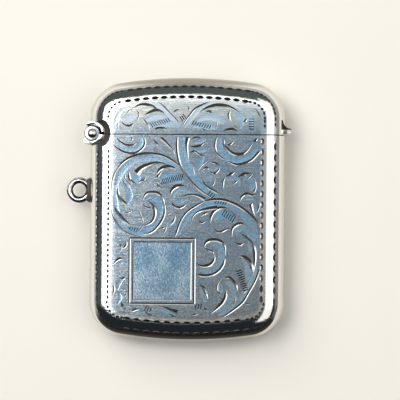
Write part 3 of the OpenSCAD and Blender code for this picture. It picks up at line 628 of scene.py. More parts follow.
class VESTA_OT_stage(bpy.types.Operator):
    """Make the floor, the lights and the camera"""

    bl_idname = "vesta.stage"
    bl_label = "Stage"

    def execute(self, context):
        self.make_floor(context.scene.vesta_finishes)
        self.make_world(context.scene)
        self.make_lights()
        self.make_camera(context.scene)
        context.scene.view_settings.view_transform = "Standard"
        return {"FINISHED"}

    def make_floor(self, finishes):
        """A wide plain floor just under the case."""
        deselect()
        bpy.ops.mesh.primitive_plane_add(size=4.0, location=(0, 0, 0))
        floor = bpy.context.object
        floor.name = "floor"
        material = bpy.data.materials.new("pale_floor")
        material.use_nodes = True
        shader = material.node_tree.nodes["Principled BSDF"]
        shader.inputs["Base Color"].default_value = finishes.floor
        shader.inputs["Roughness"].default_value = 0.7
        shader.inputs["Specular IOR Level"].default_value = 0.2
        floor.data.materials.append(material)

    def make_world(self, scene):
        """A studio: blue overhead, dark towards both ends, in a pale wall that is lowest on the left."""
        world = bpy.data.worlds.new("studio")
        scene.world = world
        world.use_nodes = True
        tree = world.node_tree
        place = add_node(tree, "TexCoord").outputs["Generated"]
        parts = add_node(tree, "SeparateXYZ", {0: place}).outputs
        slant = add_node(tree, "VectorMath", {0: place, 1: (-0.6, 0.8, 0.0)}, operation="DOT_PRODUCT")
        overhead = (
            (-1.0, (0.08, 0.09, 0.10)),
            (-0.59, (0.10, 0.11, 0.12)),
            (-0.57, (0.55, 0.56, 0.56)),
            (-0.35, (0.55, 0.56, 0.56)),
            (-0.15, (0.20, 0.23, 0.24)),
            (-0.03, (0.50, 0.46, 0.41)),
            (0.000, (0.25, 0.31, 0.335)),
            (0.018, (0.235, 0.42, 0.555)),
            (0.045, (0.225, 0.37, 0.505)),
            (0.068, (0.29, 0.38, 0.45)),
            (0.092, (0.65, 0.80, 0.94)),
            (0.120, (0.70, 0.77, 0.83)),
            (0.250, (0.40, 0.44, 0.48)),
            (0.340, (0.07, 0.085, 0.10)),
            (1.0, (0.07, 0.085, 0.10)),
        )
        ends = (
            (-1.0, (0.015, 0.018, 0.022)),
            (-0.3, (0.016, 0.02, 0.025)),
            (0.3, (0.085, 0.105, 0.10)),
            (1.0, (0.085, 0.105, 0.10)),
        )
        wall = (
            (-1.0, (0.34, 0.34, 0.33)),
            (-0.8, (0.12, 0.12, 0.12)),
            (-0.6, (0.28, 0.28, 0.27)),
            (0.0, (0.42, 0.43, 0.42)),
            (1.0, (0.52, 0.53, 0.52)),
        )
        away = add_node(tree, "Math", {0: parts["Y"]}, operation="ABSOLUTE").outputs[0]
        left = add_node(tree, "Math", {0: parts["X"], 1: 0.0}, operation="MINIMUM").outputs[0]
        height = add_node(tree, "Math", {0: left, 1: -0.14, 2: parts["Z"]}, operation="MULTIPLY_ADD")
        sky = self.make_ramp(tree, slant.outputs["Value"], overhead)
        dark_ends = self.make_ramp(tree, parts["Y"], ends)
        pale_wall = self.make_ramp(tree, slant.outputs["Value"], wall)
        sky = self.fade_to(tree, sky, dark_ends, away, 0.13, 0.19)
        sky = self.fade_to(tree, sky, pale_wall, height.outputs[0], 0.36, 0.26)
        tree.links.new(sky, tree.nodes["Background"].inputs["Color"])

    def make_ramp(self, tree, value, stops):
        """A colour ramp over a direction's part, which runs from -1 to 1."""
        share = add_node(tree, "MapRange", {"Value": value, "From Min": -1.0}).outputs[0]
        ramp = add_node(tree, "ValToRGB", {0: share})
        elements = ramp.color_ramp.elements
        for number, (place, tint) in enumerate(stops):
            position = (place + 1) / 2
            element = elements[number] if number < 2 else elements.new(position)
            element.position = position
            element.color = (*tint, 1)
        return ramp.outputs["Color"]

    def fade_to(self, tree, first, second, value, start, full):
        """Fades from a first colour to a second one while a value goes from start to full."""
        share = add_node(
            tree,
            "MapRange",
            {"Value": value, "From Min": start, "From Max": full},
            interpolation_type="SMOOTHSTEP",
        )
        mix = add_node(tree, "Mix", {"Factor": share.outputs[0], "A": first, "B": second}, data_type="RGBA")
        return mix.outputs["Result"]

    def make_lights(self):
        """A softbox on the left, strips on the right and beyond the lid, and a lamp for the floor alone."""
        for name, tilt_x, tilt_y, width, height, radiance, tint in (
            ("key_softbox", -24.2, 7, 0.265, 0.30, 3.6, (1.0, 0.99, 0.97)),
            ("right_strip", 34, 0, 0.42, 0.80, 1.0, (1.0, 0.98, 0.96)),
            ("lid_strip", 0, 16, 0.60, 0.11, 1.6, (1.0, 0.99, 0.97)),
            ("floor_lamp", -32, 34, 0.45, 0.45, 2.6, (1.0, 0.98, 0.95)),
        ):
            turn = Euler((math.radians(-tilt_y), math.radians(tilt_x), 0))
            back = turn.to_matrix() @ Vector((0, 0, LAMP_DISTANCE))
            bpy.ops.object.light_add(type="AREA", location=back, rotation=turn)
            lamp = bpy.context.object
            lamp.name = name
            lamp.data.shape = "RECTANGLE"
            lamp.data.size = width
            lamp.data.size_y = height
            lamp.data.energy = radiance * math.pi * width * height
            lamp.data.color = tint
            lamp.visible_camera = False
            lamp.visible_glossy = name != "floor_lamp"

    def make_camera(self, scene):
        """A long lens almost straight above, leaning a little to the right."""
        aim = Vector((2.28, 1.78, 4.0)) * MM
        lean = math.radians(3.8)
        roll = math.radians(0.45)
        distance = 0.3
        place = aim + distance * Vector((math.sin(lean), 0, math.cos(lean)))
        turn = Matrix.Rotation(lean, 4, "Y") @ Matrix.Rotation(roll, 4, "Z")
        bpy.ops.object.camera_add(location=place, rotation=turn.to_euler())
        camera = bpy.context.object
        camera.data.lens = 151.3
        camera.data.clip_start = 0.01
        scene.camera = camera


class VESTA_OT_shells(bpy.types.Operator):
    """Model the engraved front and back shells of the body and the lid"""

    bl_idname = "vesta.shells"
    bl_label = "Engraved shells"

    def execute(self, context):
        sizes = in_millimetres(context.scene.vesta_sizes)
        for body, face in (("body", "front"), ("lid", "front"), ("body", "back"), ("lid", "back")):
            self.make_shell(sizes, body, face)
        return {"FINISHED"}

    def make_shell(self, sizes, body, face):
        """One shell, modelled as a front one; a back one is then turned over about the case's long axis."""
        shell = cushion_half(sizes)
        gap = sizes.seam_gap / 2
        side = 1 if body == "body" else -1
        with editing(shell):
            bpy.ops.mesh.select_all(action="SELECT")
            bpy.ops.mesh.bisect(
                plane_co=(0, sizes.hinge_y - sizes.seam_drop - side * gap, 0),
                plane_no=(0, side, 0),
                clear_outer=True,
            )
        shell.data.materials.append(engraved_finish())
        shell.data.materials.append(gilt_finish())
        # The third finish, on the sheet's rims, is painted shade: black in the gap of the seam
        shell.data.materials.append(dirt_finish())
        apply_modifier(
            shell,
            "SOLIDIFY",
            thickness=sizes.wall,
            offset=-1,
            use_even_offset=True,
            material_offset=1,
            material_offset_rim=2,
        )
        self.part_face(shell)
        mirrored = -1 if face == "back" else 1
        cutters = self.make_cutters(sizes, body, face, mirrored)
        folder = bpy.data.collections.new("cutters")
        bpy.context.scene.collection.children.link(folder)
        for cutter in cutters:
            folder.objects.link(cutter)
        apply_modifier(
            shell,
            "BOOLEAN",
            operation="DIFFERENCE",
            operand_type="COLLECTION",
            collection=folder,
            solver="MANIFOLD",
            material_mode="TRANSFER",
        )
        deselect()
        for cutter in cutters:
            bpy.data.objects.remove(cutter)
        bpy.data.collections.remove(folder)
        if face == "back":
            choose(shell)
            bpy.ops.transform.rotate(
                value=math.pi, orient_axis="Y", center_override=(0, 0, sizes.thickness / 2)
            )
        self.part_finishes(shell)
        settle(shell, body + "_" + face + "_shell", body, sharp=8.0)

    def part_face(self, shell):
        """Parts the face into cells, a little off the middle, so that no one face takes all the cuts."""
        cell_width, cell_height = 6.26, 7.3
        off_x, off_y = 0.41, 0.37
        planes = [((cell_width * number + off_x, 0, 0), (1, 0, 0)) for number in range(-1, 2)]
        planes += [((0, cell_height * number + off_y, 0), (0, 1, 0)) for number in range(-2, 3)]
        with editing(shell):
            for place, normal in planes:
                bpy.ops.mesh.select_all(action="SELECT")
                bpy.ops.mesh.bisect(plane_co=place, plane_no=normal)

    def part_finishes(self, shell):
        """Marks the edges between finishes sharp, so that a shallow cut doesn't shade the ground round it."""
        with editing(shell):
            bpy.ops.mesh.select_mode(type="EDGE")
            select_where(shell, "edges", lambda e: len({face.material_index for face in e.link_faces}) > 1)
            bpy.ops.mesh.mark_sharp()
            bpy.ops.mesh.select_mode(type="VERT")

    def make_cutters(self, sizes, body, face, mirrored):
        """Everything that is cut out of a shell, as separate closed solids."""
        cuts = BODY_CUTS if body == "body" else LID_CUTS
        blades = BODY_BLADES if body == "body" else LID_BLADES
        hatches = BODY_HATCHES if body == "body" else LID_HATCHES
        if body == "body" and face == "back":
            fine = 0.8
            cuts += tuple(
                (kind, fine * width, self.in_panel(sizes, points)) for kind, width, points in LEFT_SCROLL
            )
            blades += tuple(
                (fine * start, fine * end, self.in_panel(sizes, points))
                for start, end, points in LEFT_SCROLL_BLADES
            )
        top = sizes.thickness
        cutters = [graver_cut(kind, CUT_SPREAD * width, points, top) for kind, width, points in cuts]
        cutters += [leaf_blade(*blade, top) for blade in blades]
        for hatch in hatches:
            cutters += hatch_cuts(*hatch, top)
        if body == "body" and face == "front":
            cutters += frame_cuts(sizes)
        cutters += border_gouges(sizes, body, mirrored)
        cutters.append(hinge_notch(sizes, mirrored))
        if body == "body":
            cutters.append(striker_window(sizes))
        return cutters

    def in_panel(self, sizes, points):
        """Points of the left scroll, made smaller and moved to where the front has its cartouche."""
        scroll_x, scroll_y, share = 7.15, 2.6, 0.7
        return [
            (share * (x + scroll_x) - sizes.cartouche_x, share * (y - scroll_y) - sizes.cartouche_y)
            for x, y in points
        ]


def swelling(kind, t):
    """Share of a cut's full width at a place along it, from 0 at its start to 1 at its end."""
    if kind == SWELL:
        return max(0.12, math.sin(math.pi * (0.04 + 0.92 * t)) ** 0.8)
    if kind == WEDGE:
        return max(0.10, 1.0 - 0.9 * t)
    if kind == RULE:
        return 1.0
    return 0.5 if t in (0.0, 1.0) else 1.0


def sweep(points, radii, depth, roundness, detail):
    """A closed tube along a smooth path, of these radii at its points, pressed flat to a depth below it."""
    deselect()
    bpy.ops.curve.primitive_bezier_curve_add()
    path = bpy.context.object.data
    path.dimensions = "3D"
    path.twist_mode = "Z_UP"
    path.bevel_depth = 1.0
    path.bevel_resolution = roundness
    path.use_fill_caps = True
    path.resolution_u = detail
    knots = path.splines[0].bezier_points
    if len(points) > 2:
        knots.add(len(points) - 2)
    for knot, (x, y), radius in zip(knots, points, radii):
        knot.handle_left_type = "AUTO"
        knot.handle_right_type = "AUTO"
        knot.co = (x, y, 0.0)
        knot.radius = radius
    bpy.ops.object.convert(target="MESH")
    tube = bpy.context.object
    with editing(tube):
        bpy.ops.mesh.select_all(action="SELECT")
        bpy.ops.mesh.remove_doubles(threshold=0.0001)
        bpy.ops.mesh.normals_make_consistent(inside=False)
    tube.scale.z = depth / max(radii)
    return tube


def graver_cut(kind, width, points, top, slope=GRAVER_SLOPE, detail=6, lean=GRAVER_LEAN):
    """A stroke of diamond section, whose lower half cuts a leaning V into a face at height top."""
    last = len(points) - 1
    radii = [width / 2 * swelling(kind, number / last) for number in range(last + 1)]
    stroke = sweep(points, radii, slope * width / 2, 0, detail)
    for vertex in stroke.data.vertices:
        if vertex.co.z < 0:
            vertex.co -= BRIGHT_SIDE * lean * vertex.co.z
    stroke.location.z = top + CUT_LIFT
    stroke.data.materials.append(cut_finish())
    return stroke


def leaf_blade(start, end, points, top):
    """A broad shallow trough with pointed ends, whose widths run from start to end."""
    last = len(points) - 1
    radii = []
    for number in range(last + 1):
        width = start + (end - start) * (number / last)
        radii.append(0.5 * width * (BLADE_TIP if number in (0, last) else 1.0))
    blade = sweep(points, radii, BLADE_DEPTH, 2, 6)
    blade.location.z = top
    blade.data.materials.append(leaf_finish())
    return blade


def hatch_cuts(middle, row, cut, row_slope, cut_slope, top):
    """A row of fine parallel cuts side by side."""
    along = Vector((math.cos(math.radians(row_slope)), math.sin(math.radians(row_slope))))
    lean = Vector((math.cos(math.radians(cut_slope)), math.sin(math.radians(cut_slope))))
    count = max(3, round(row / HATCH_PITCH))
    cutters = []
    for number in range(count):
        centre = Vector(middle) + along * row * ((number + 0.5) / count - 0.5)
        ends = (centre - lean * cut / 2, centre + lean * cut / 2)
        tick = graver_cut(RULE, HATCH_WIDTH, ends, top, TICK_SLOPE, detail=1, lean=0)
        tick.data.materials[0] = dirt_finish()
        cutters.append(tick)
    return cutters


def frame_cuts(sizes):
    """The two square lines round the cartouche, and the slightly sunk panel inside them."""
    outer = sizes.cartouche_side / 2
    inner = outer - sizes.cartouche_step
    sunk = 0.015
    cutters = []
    for half in (outer, inner):
        corners = [(-half, -half), (half, -half), (half, half), (-half, half)]
        corners = [(x - sizes.cartouche_x, y - sizes.cartouche_y) for x, y in corners]
        for a, b in zip(corners, corners[1:] + corners[:1]):
            cutters.append(graver_cut(RULE, sizes.frame_line, (a, b), sizes.thickness, detail=1))
    deselect()
    bpy.ops.mesh.primitive_cube_add(
        size=1, location=(-sizes.cartouche_x, -sizes.cartouche_y, sizes.thickness)
    )
    panel = bpy.context.object
    panel.scale = (2 * inner, 2 * inner, 2 * sunk)
    panel.data.materials.append(brushed_finish())
    return cutters + [panel]


def gouge_pattern(sizes):
    """One lens-shaped gouge along X, with a material slot for its outer wall and one for its inner wall."""
    lens = ((-0.5, 0), (-0.2, 0), (0.2, 0), (0.5, 0))
    pattern = graver_cut(SWELL, sizes.gouge_width, lens, 0, GOUGE_SLOPE, detail=2, lean=0)
    pattern.data.materials.append(None)
    choose(pattern)
    pattern.scale.x = sizes.gouge_length
    bpy.ops.object.transform_apply(location=True, scale=True)
    for face in pattern.data.polygons:
        face.material_index = 1 if face.center.y > 0 else 0
    return pattern


def border_gouges(sizes, body, mirrored):
    """Two rows of gouges that follow the outline, on one side of the seam."""
    pattern = gouge_pattern(sizes)
    hinge = Vector((-mirrored * sizes.hinge_x, sizes.hinge_y))
    seam = sizes.hinge_y - sizes.seam_drop
    gouges = []
    for row, inset in ((OUTER, sizes.border_outer), (INNER, sizes.border_inner)):
        ring = case_outline(sizes, inset)
        for place, heading in walk(ring, lambda p: gouge_pitch(sizes, p, row)):
            from_seam = place.y - seam
            if abs(from_seam) < SEAM_CLEAR or (from_seam > 0) != (body == "lid"):
                continue
            if (place - hinge).length < HINGE_CLEAR:
                continue
            shift = row_shift(sizes, place, mirrored, row) if body == "body" else 0.0
            place = place - Vector((heading.y, -heading.x)) * shift
            gouge = pattern.copy()
            gouge.data = pattern.data.copy()
            bpy.context.scene.collection.objects.link(gouge)
            lean = lean_gouge(gouge, gouge_walls(sizes, place, mirrored, row), row)
            spread = LEANING_SPREAD if row == OUTER and lean else 1.0
            share = min(1.0, GOUGE_FILL * gouge_pitch(sizes, place, row) / sizes.gouge_length)
            size = Matrix.Diagonal((share, spread * math.sqrt(share), math.sqrt(share), 1))
            gouge.matrix_world = edge_place(sizes, place, heading, inset + shift) @ size
            gouges.append(gouge)
    bpy.data.objects.remove(pattern)
    return gouges


def lean_gouge(gouge, walls, row):
    """Gives a gouge's outer and inner wall their finishes, leans it to a bright one and returns the lean."""
    gouge.data.materials[0], gouge.data.materials[1] = walls
    outer_bright, inner_bright = [wall in (plain_finish(), gouge_finish()) for wall in walls]
    lean = (inner_bright - outer_bright) * ROW_LEANS[row]
    for vertex in gouge.data.vertices:
        if vertex.co.z < 0:
            vertex.co.y -= lean * vertex.co.z
    return lean


def edge_place(sizes, place, heading, inset):
    """Stands a cutter on the rounded edge, with X along its row, Y inwards and Z out of the silver."""
    slope = math.asin(max(0.0, 1 - inset / sizes.edge_radius))
    height = sizes.thickness - sizes.face_rise - sizes.edge_radius * (1 - math.cos(slope))
    along = Vector((heading.x, heading.y, 0))
    outward = Vector((heading.y, -heading.x, 0))
    normal = outward * math.sin(slope) + Vector((0, 0, math.cos(slope)))
    turn = Matrix((along, normal.cross(along), normal)).transposed().to_4x4()
    return Matrix.Translation((place.x, place.y, height)) @ turn


def gouge_walls(sizes, place, mirrored, row):
    """Finishes of a gouge's outer and inner wall: bright on one side down the sides and along the base."""
    # Painted shade: dark walls take the dirt and shade finish; half-lit walls the gouge or tarnished finish
    bright, dark = plain_finish(), dirt_finish()
    if mirrored * place.x > sizes.corner_x and abs(place.y) < sizes.hinge_y:
        return (bright, dark) if row == OUTER else (dark, bright)
    if row == OUTER and mirrored * place.x < -sizes.corner_x and abs(place.y) < sizes.hinge_y:
        return gouge_finish(), dark
    if place.y < -sizes.corner_y and abs(place.x) < sizes.corner_x:
        return (dark, tarnished_finish()) if row == OUTER else (bright, dark)
    return dark, dark


def row_shift(sizes, place, mirrored, row):
    """How far a row is set in: the inner one, down the body's sides, where it runs further from the edge."""
    if row == OUTER or abs(place.x) < sizes.corner_x or place.y < -sizes.corner_y:
        return 0.0
    return RIGHT_SHIFT if mirrored * place.x > 0 else LEFT_SHIFT


def gouge_pitch(sizes, place, row):
    """How far apart the gouges stand: closest at the corners, widest down the right side."""
    beside = abs(place.x) > sizes.corner_x
    if beside and (place.y > sizes.hinge_y or place.y < -sizes.corner_y):
        return CORNER_PITCH
    if beside:
        return RIGHT_PITCHES[row] if place.x > 0 else LEFT_PITCHES[row]
    return BASE_PITCH if place.y < 0 else TOP_PITCH


def walk(ring, pitch):
    """Places and headings at a pitch along a closed ring of points."""
    ahead = 0.0
    for a, b in zip(ring, ring[1:] + ring[:1]):
        start, end = Vector(a), Vector(b)
        span = (end - start).length
        heading = (end - start) / span
        while ahead < span:
            place = start + heading * ahead
            yield place, heading
            ahead += pitch(place)
        ahead -= span


def hinge_notch(sizes, mirrored):
    """A round cutter through the side for the hinge, opened out to a dished rim at the face."""
    dish_depth = 0.8
    deselect()
    bpy.ops.mesh.primitive_cylinder_add(
        vertices=72,
        radius=sizes.hinge_notch,
        depth=sizes.thickness / 2,
        location=(-mirrored * sizes.hinge_x, sizes.hinge_y, 0.75 * sizes.thickness - dish_depth),
    )
    cutter = bpy.context.object
    throat = sizes.hinge_notch + 0.12 * (sizes.hinge_dish - sizes.hinge_notch)
    with editing(cutter):
        select_where(cutter, "faces", lambda f: f.normal.z > 0.9)
        for rise, radius in ((0.25, throat), (0.57, sizes.hinge_dish), (0.3, sizes.hinge_dish)):
            bpy.ops.mesh.extrude_region_move(TRANSFORM_OT_translate={"value": (0, 0, rise)})
            mesh = bmesh.from_edit_mesh(cutter.data)
            for vertex in [v for v in mesh.verts if v.select]:
                vertex.co.xy = vertex.co.xy.normalized() * radius
            bmesh.update_edit_mesh(cutter.data)
    cutter.data.materials.append(dished_finish())
    return cutter


def striker_window(sizes):
    """A box that opens the base for the striker, long enough to pass through the wall."""
    through = 3.0
    deselect()
    bpy.ops.mesh.primitive_cube_add(size=1, location=(0, -sizes.half_height, sizes.thickness / 2))
    cutter = bpy.context.object
    cutter.scale = (sizes.striker_length, through, sizes.striker_width)
    cutter.data.materials.append(tarnished_finish())
    return cutter


def add_node(tree, kind, inputs=None, **settings):
    """Adds a shader node with these settings. Each input named is set to a value, or linked to a socket."""
    node = tree.nodes.new("ShaderNode" + kind)
    for name, value in settings.items():
        setattr(node, name, value)
    for name, value in (inputs or {}).items():
        if isinstance(value, bpy.types.NodeSocket):
            tree.links.new(value, node.inputs[name])
        else:
            node.inputs[name].default_value = value
    return node


def new_group(name, inputs, outputs):
    """An empty shader node group with these inputs and outputs, and its two ends."""
    group = bpy.data.node_groups.new(name, "ShaderNodeTree")
    for socket, kind in inputs.items():
        group.interface.new_socket(socket, in_out="INPUT", socket_type="NodeSocket" + kind)
    for socket, kind in outputs.items():
        group.interface.new_socket(socket, in_out="OUTPUT", socket_type="NodeSocket" + kind)
    return group, group.nodes.new("NodeGroupInput").outputs, group.nodes.new("NodeGroupOutput").inputs


def handled_metal():
    """A shader node group: smudges, grain and fine scratches of metal that has been carried in a pocket."""
    if "handled_metal" in bpy.data.node_groups:
        return bpy.data.node_groups["handled_metal"]
    group, given, result = new_group(
        "handled_metal",
        {
            "Metal": "Color",
            "Tarnish": "Color",
            "Tarnish Amount": "Float",
            "Roughness": "Float",
            "Scratches": "Float",
            "Grain": "Float",
        },
        {"Color": "Color", "Roughness": "Float", "Height": "Float"},
    )
    place = add_node(group, "TexCoord").outputs["Object"]

    smudge = add_node(group, "TexNoise", {"Vector": place, "Scale": 420, "Detail": 6, "Roughness": 0.6})
    patch = add_node(group, "MapRange", {"Value": smudge.outputs["Fac"], "From Min": 0.42, "From Max": 0.72})
    amount = add_node(
        group, "Math", {0: patch.outputs[0], 1: given["Tarnish Amount"]}, operation="MULTIPLY"
    ).outputs[0]
    tint = add_node(
        group, "Mix", {"Factor": amount, "A": given["Metal"], "B": given["Tarnish"]}, data_type="RGBA"
    )
    speck = add_node(group, "TexNoise", {"Vector": place, "Scale": 2600, "Detail": 2, "Roughness": 0.7})
    dark = add_node(
        group,
        "MapRange",
        {"Value": speck.outputs["Fac"], "From Min": 0.62, "From Max": 0.34, "To Max": given["Grain"]},
    )
    light = add_node(group, "Math", {0: 1.0, 1: dark.outputs[0]}, operation="SUBTRACT")
    shade = add_node(
        group,
        "Mix",
        {"Factor": 1.0, "A": tint.outputs["Result"], "B": light.outputs[0]},
        data_type="RGBA",
        blend_type="MULTIPLY",
    )
    group.links.new(shade.outputs["Result"], result["Color"])

    deepest = None
    for turn in (12, 67, 128):
        lay = add_node(
            group,
            "Mapping",
            {"Vector": place, "Rotation": (0, 0, math.radians(turn)), "Scale": (300, 9000, 300)},
        )
        noise = add_node(group, "TexNoise", {"Vector": lay.outputs[0], "Scale": 1, "Detail": 3})
        lines = noise.outputs["Fac"]
        if deepest:
            lines = add_node(group, "Math", {0: deepest, 1: lines}, operation="MAXIMUM").outputs[0]
        deepest = lines
    cut = add_node(group, "MapRange", {"Value": deepest, "From Min": 0.55, "From Max": 0.85})
    depth = add_node(
        group, "Math", {0: cut.outputs[0], 1: given["Scratches"]}, operation="MULTIPLY"
    ).outputs[0]
    group.links.new(depth, result["Height"])

    dull = add_node(group, "Math", {0: amount, 1: 0.15, 2: given["Roughness"]}, operation="MULTIPLY_ADD")
    rough = add_node(group, "Math", {0: depth, 1: 0.06, 2: dull.outputs[0]}, operation="MULTIPLY_ADD")
    group.links.new(rough.outputs[0], result["Roughness"])
    return group


def metal_finish(name, metal, tarnish, amount, roughness, scratches, grain=0.2):
    """A new metal with the handled look, its own colours and its own amounts."""
    material = bpy.data.materials.new(name)
    material.use_nodes = True
    tree = material.node_tree
    shader = tree.nodes["Principled BSDF"]
    shader.inputs["Metallic"].default_value = 1.0
    wear = tree.nodes.new("ShaderNodeGroup")
    wear.node_tree = handled_metal()
    wear.inputs["Metal"].default_value = metal
    wear.inputs["Tarnish"].default_value = tarnish
    wear.inputs["Tarnish Amount"].default_value = amount
    wear.inputs["Roughness"].default_value = roughness
    wear.inputs["Scratches"].default_value = scratches
    wear.inputs["Grain"].default_value = grain
    relief = add_node(
        tree, "Bump", {"Strength": 0.25, "Distance": 0.02 * MM, "Height": wear.outputs["Height"]}
    )
    tree.links.new(wear.outputs["Color"], shader.inputs["Base Color"])
    tree.links.new(wear.outputs["Roughness"], shader.inputs["Roughness"])
    tree.links.new(relief.outputs["Normal"], shader.inputs["Normal"])
    return material


def case_place():
    """A shader node group that measures a place on the case.

    Depth is how far the place lies below the nearer face, Along how far it lies from the middle towards the
    lid, and End how far towards either end, in millimetres. Base is its share in the painted dark reflection
    over the edge of the base, whose pale rim narrows towards the base.
    """
    if "case_place" in bpy.data.node_groups:
        return bpy.data.node_groups["case_place"]
    measures = ("Depth", "Along", "End", "Base")
    group, given, result = new_group("case_place", {}, {name: "Float" for name in measures})
    place = add_node(group, "TexCoord").outputs["Object"]
    in_mm = add_node(group, "VectorMath", {0: place, "Scale": 1 / MM}, operation="SCALE")
    parts = add_node(group, "SeparateXYZ", {0: in_mm.outputs[0]}).outputs
    half = bpy.context.scene.vesta_sizes.thickness / 2 / MM
    height = add_node(group, "Math", {0: parts["Z"], 1: half}, operation="SUBTRACT")
    size = add_node(group, "Math", {0: height.outputs[0]}, operation="ABSOLUTE")
    below = add_node(group, "Math", {0: half, 1: size.outputs[0]}, operation="SUBTRACT")
    end = add_node(group, "Math", {0: parts["Y"]}, operation="ABSOLUTE")
    towards_base = add_node(group, "MapRange", {"Value": parts["Y"], "From Min": -16.5, "From Max": -22.0})
    limit = add_node(
        group, "Math", {0: towards_base.outputs[0], 1: 0.7, 2: 1.1}, operation="MULTIPLY_ADD"
    )
    spare = add_node(group, "Math", {0: limit.outputs[0], 1: below.outputs[0]}, operation="SUBTRACT")
    above_rim = add_node(group, "MapRange", {"Value": spare.outputs[0], "From Max": 0.25})
    off_face = add_node(group, "MapRange", {"Value": below.outputs[0], "From Min": 0.45, "From Max": 0.7})
    band = add_node(group, "Math", {0: above_rim.outputs[0], 1: off_face.outputs[0]}, operation="MULTIPLY")
    at_base = add_node(group, "MapRange", {"Value": parts["Y"], "From Min": -17.0, "From Max": -19.5})
    base = add_node(group, "Math", {0: band.outputs[0], 1: at_base.outputs[0]}, operation="MULTIPLY")
    sockets = (below.outputs[0], parts["Y"], end.outputs[0], base.outputs[0])
    for name, socket in zip(measures, sockets):
        group.links.new(socket, result[name])
    return group


def mix_into(material, value, start, full, tint, roughness):
    """Mixes a second colour and roughness into a metal, from none at one value to all at another."""
    tree = material.node_tree
    shader = tree.nodes["Principled BSDF"]
    share = add_node(
        tree,
        "MapRange",
        {"Value": value, "From Min": start, "From Max": full},
        interpolation_type="SMOOTHSTEP",
    ).outputs[0]
    for name, second, kind in (("Base Color", tint, "RGBA"), ("Roughness", roughness, "FLOAT")):
        socket = shader.inputs[name]
        first = socket.links[0].from_socket
        mix = add_node(tree, "Mix", {}, data_type=kind)
        tree.links.new(share, mix.inputs["Factor"])
        tree.links.new(first, mix.inputs["A"])
        mix.inputs["B"].default_value = second
        tree.links.new(mix.outputs["Result"], socket)


def shade_by_place(material, measure, start, full, tint, roughness):
    """Mixes a second colour and roughness into a metal by the depth or the place on the case."""
    place = material.node_tree.nodes.new("ShaderNodeGroup")
    place.node_tree = case_place()
    mix_into(material, place.outputs[measure], start, full, tint, roughness)


def shade_by_facing(material, tint, roughness):
    """Paints shade: mixes in a second colour and roughness on walls that face right or down."""
    tree = material.node_tree
    normal = add_node(tree, "TexCoord").outputs["Normal"]
    facing = add_node(tree, "VectorMath", {0: normal, 1: BRIGHT_SIDE}, operation="DOT_PRODUCT")
    mix_into(material, facing.outputs["Value"], -0.04, 0.02, tint, roughness)


def shade_by_rubbing(material, tint, roughness):
    """Mixes in a second colour and roughness in short, nearly upright rub marks, more in some patches."""
    tree = material.node_tree
    place = add_node(tree, "TexCoord").outputs["Object"]
    lay = add_node(
        tree, "Mapping", {"Vector": place, "Rotation": (0, 0, math.radians(14)), "Scale": (5200, 2100, 2100)}
    )
    marks = add_node(
        tree, "TexNoise", {"Vector": lay.outputs[0], "Scale": 1, "Detail": 4, "Roughness": 0.65}
    )
    patches = add_node(tree, "TexNoise", {"Vector": place, "Scale": 280, "Detail": 1})
    rubbed = add_node(
        tree, "Math", {0: patches.outputs["Fac"], 1: 0.4, 2: marks.outputs["Fac"]}, operation="MULTIPLY_ADD"
    )
    mix_into(material, rubbed.outputs[0], 0.50, 0.92, tint, roughness)


def finish(maker):
    """Lets a finish be made once, and found again by the name of its maker whenever it is asked for later."""

    @wraps(maker)
    def find():
        name = maker.__name__
        return bpy.data.materials.get(name) or maker(name, bpy.context.scene.vesta_finishes)

    return find


@finish
def engraved_finish(name, finishes):
    """The shells' silver: a dull, mottled ground, polished edges and slightly tarnished sides."""
    material = metal_finish(name, finishes.ground, finishes.mottle, 0.8, 0.10, 0.9, grain=0.3)
    # Painted light: the ground is lightened towards the lid
    shade_by_place(material, "Along", 13.3, 17.0, finishes.lid_ground, 0.12)
    shade_by_place(material, "Depth", 0.004, 0.02, finishes.silver, 0.07)
    shade_by_place(material, "Depth", 1.0, 2.4, finishes.sides, 0.18)
    # Painted shade: the rims of the two ends are darkened
    shade_by_place(material, "End", 21.5, 22.6, finishes.ends, 0.2)
    # Painted dark reflection: the band over the base's edge is painted black
    shade_by_place(material, "Base", 0.0, 1.0, finishes.oxide, 0.3)
    return material


@finish
def leaf_finish(name, finishes):
    """Burnished silver of the leaves and scrolls, painted lighter over the lid."""
    # Painted reflection: the leaf colour's blue tint stands in for the blue overhead
    material = metal_finish(name, finishes.leaf, finishes.mottle, 0.55, 0.07, 0.5, grain=0.3)
    # Painted light: the leaves are lightened towards the lid
    shade_by_place(material, "Along", 13.3, 17.0, finishes.lid_leaf, 0.08)
    return material


@finish
def brushed_finish(name, finishes):
    """The blank cartouche, rubbed with short upright scratches."""
    # Painted reflection: the panel colour's blue tint stands in for the blue overhead
    material = metal_finish(name, finishes.panel, finishes.tarnish, 0.2, 0.08, 0.4)
    shade_by_rubbing(material, finishes.rubbed, 0.14)
    return material


@finish
def cut_finish(name, finishes):
    """Bright-cut silver of the engraving, with painted shade, black and rough, on one wall of each cut."""
    material = metal_finish(name, finishes.bright_cut, finishes.tarnish, 0.2, 0.08, 0.2, grain=0.1)
    # Painted shade: the walls that face right or down are painted black
    shade_by_facing(material, finishes.oxide, 0.4)
    return material


@finish
def gouge_finish(name, finishes):
    """Outer walls of the gouges in the left outer row, painted half lit in tarnished silver."""
    return metal_finish(name, finishes.tarnish, finishes.oxide, 0.3, 0.2, 0.3)


@finish
def dirt_finish(name, finishes):
    """Black dirt and oxide in the fine cuts, and painted shade in gaps, hollows and shaded walls."""
    return metal_finish(name, finishes.oxide, finishes.tarnish, 0.15, 0.35, 0.5)


@finish
def tarnished_finish(name, finishes):
    """Silver that is never rubbed, grey-brown with tarnish and dirt."""
    return metal_finish(name, finishes.tarnish, finishes.oxide, 0.8, 0.35, 0.5)


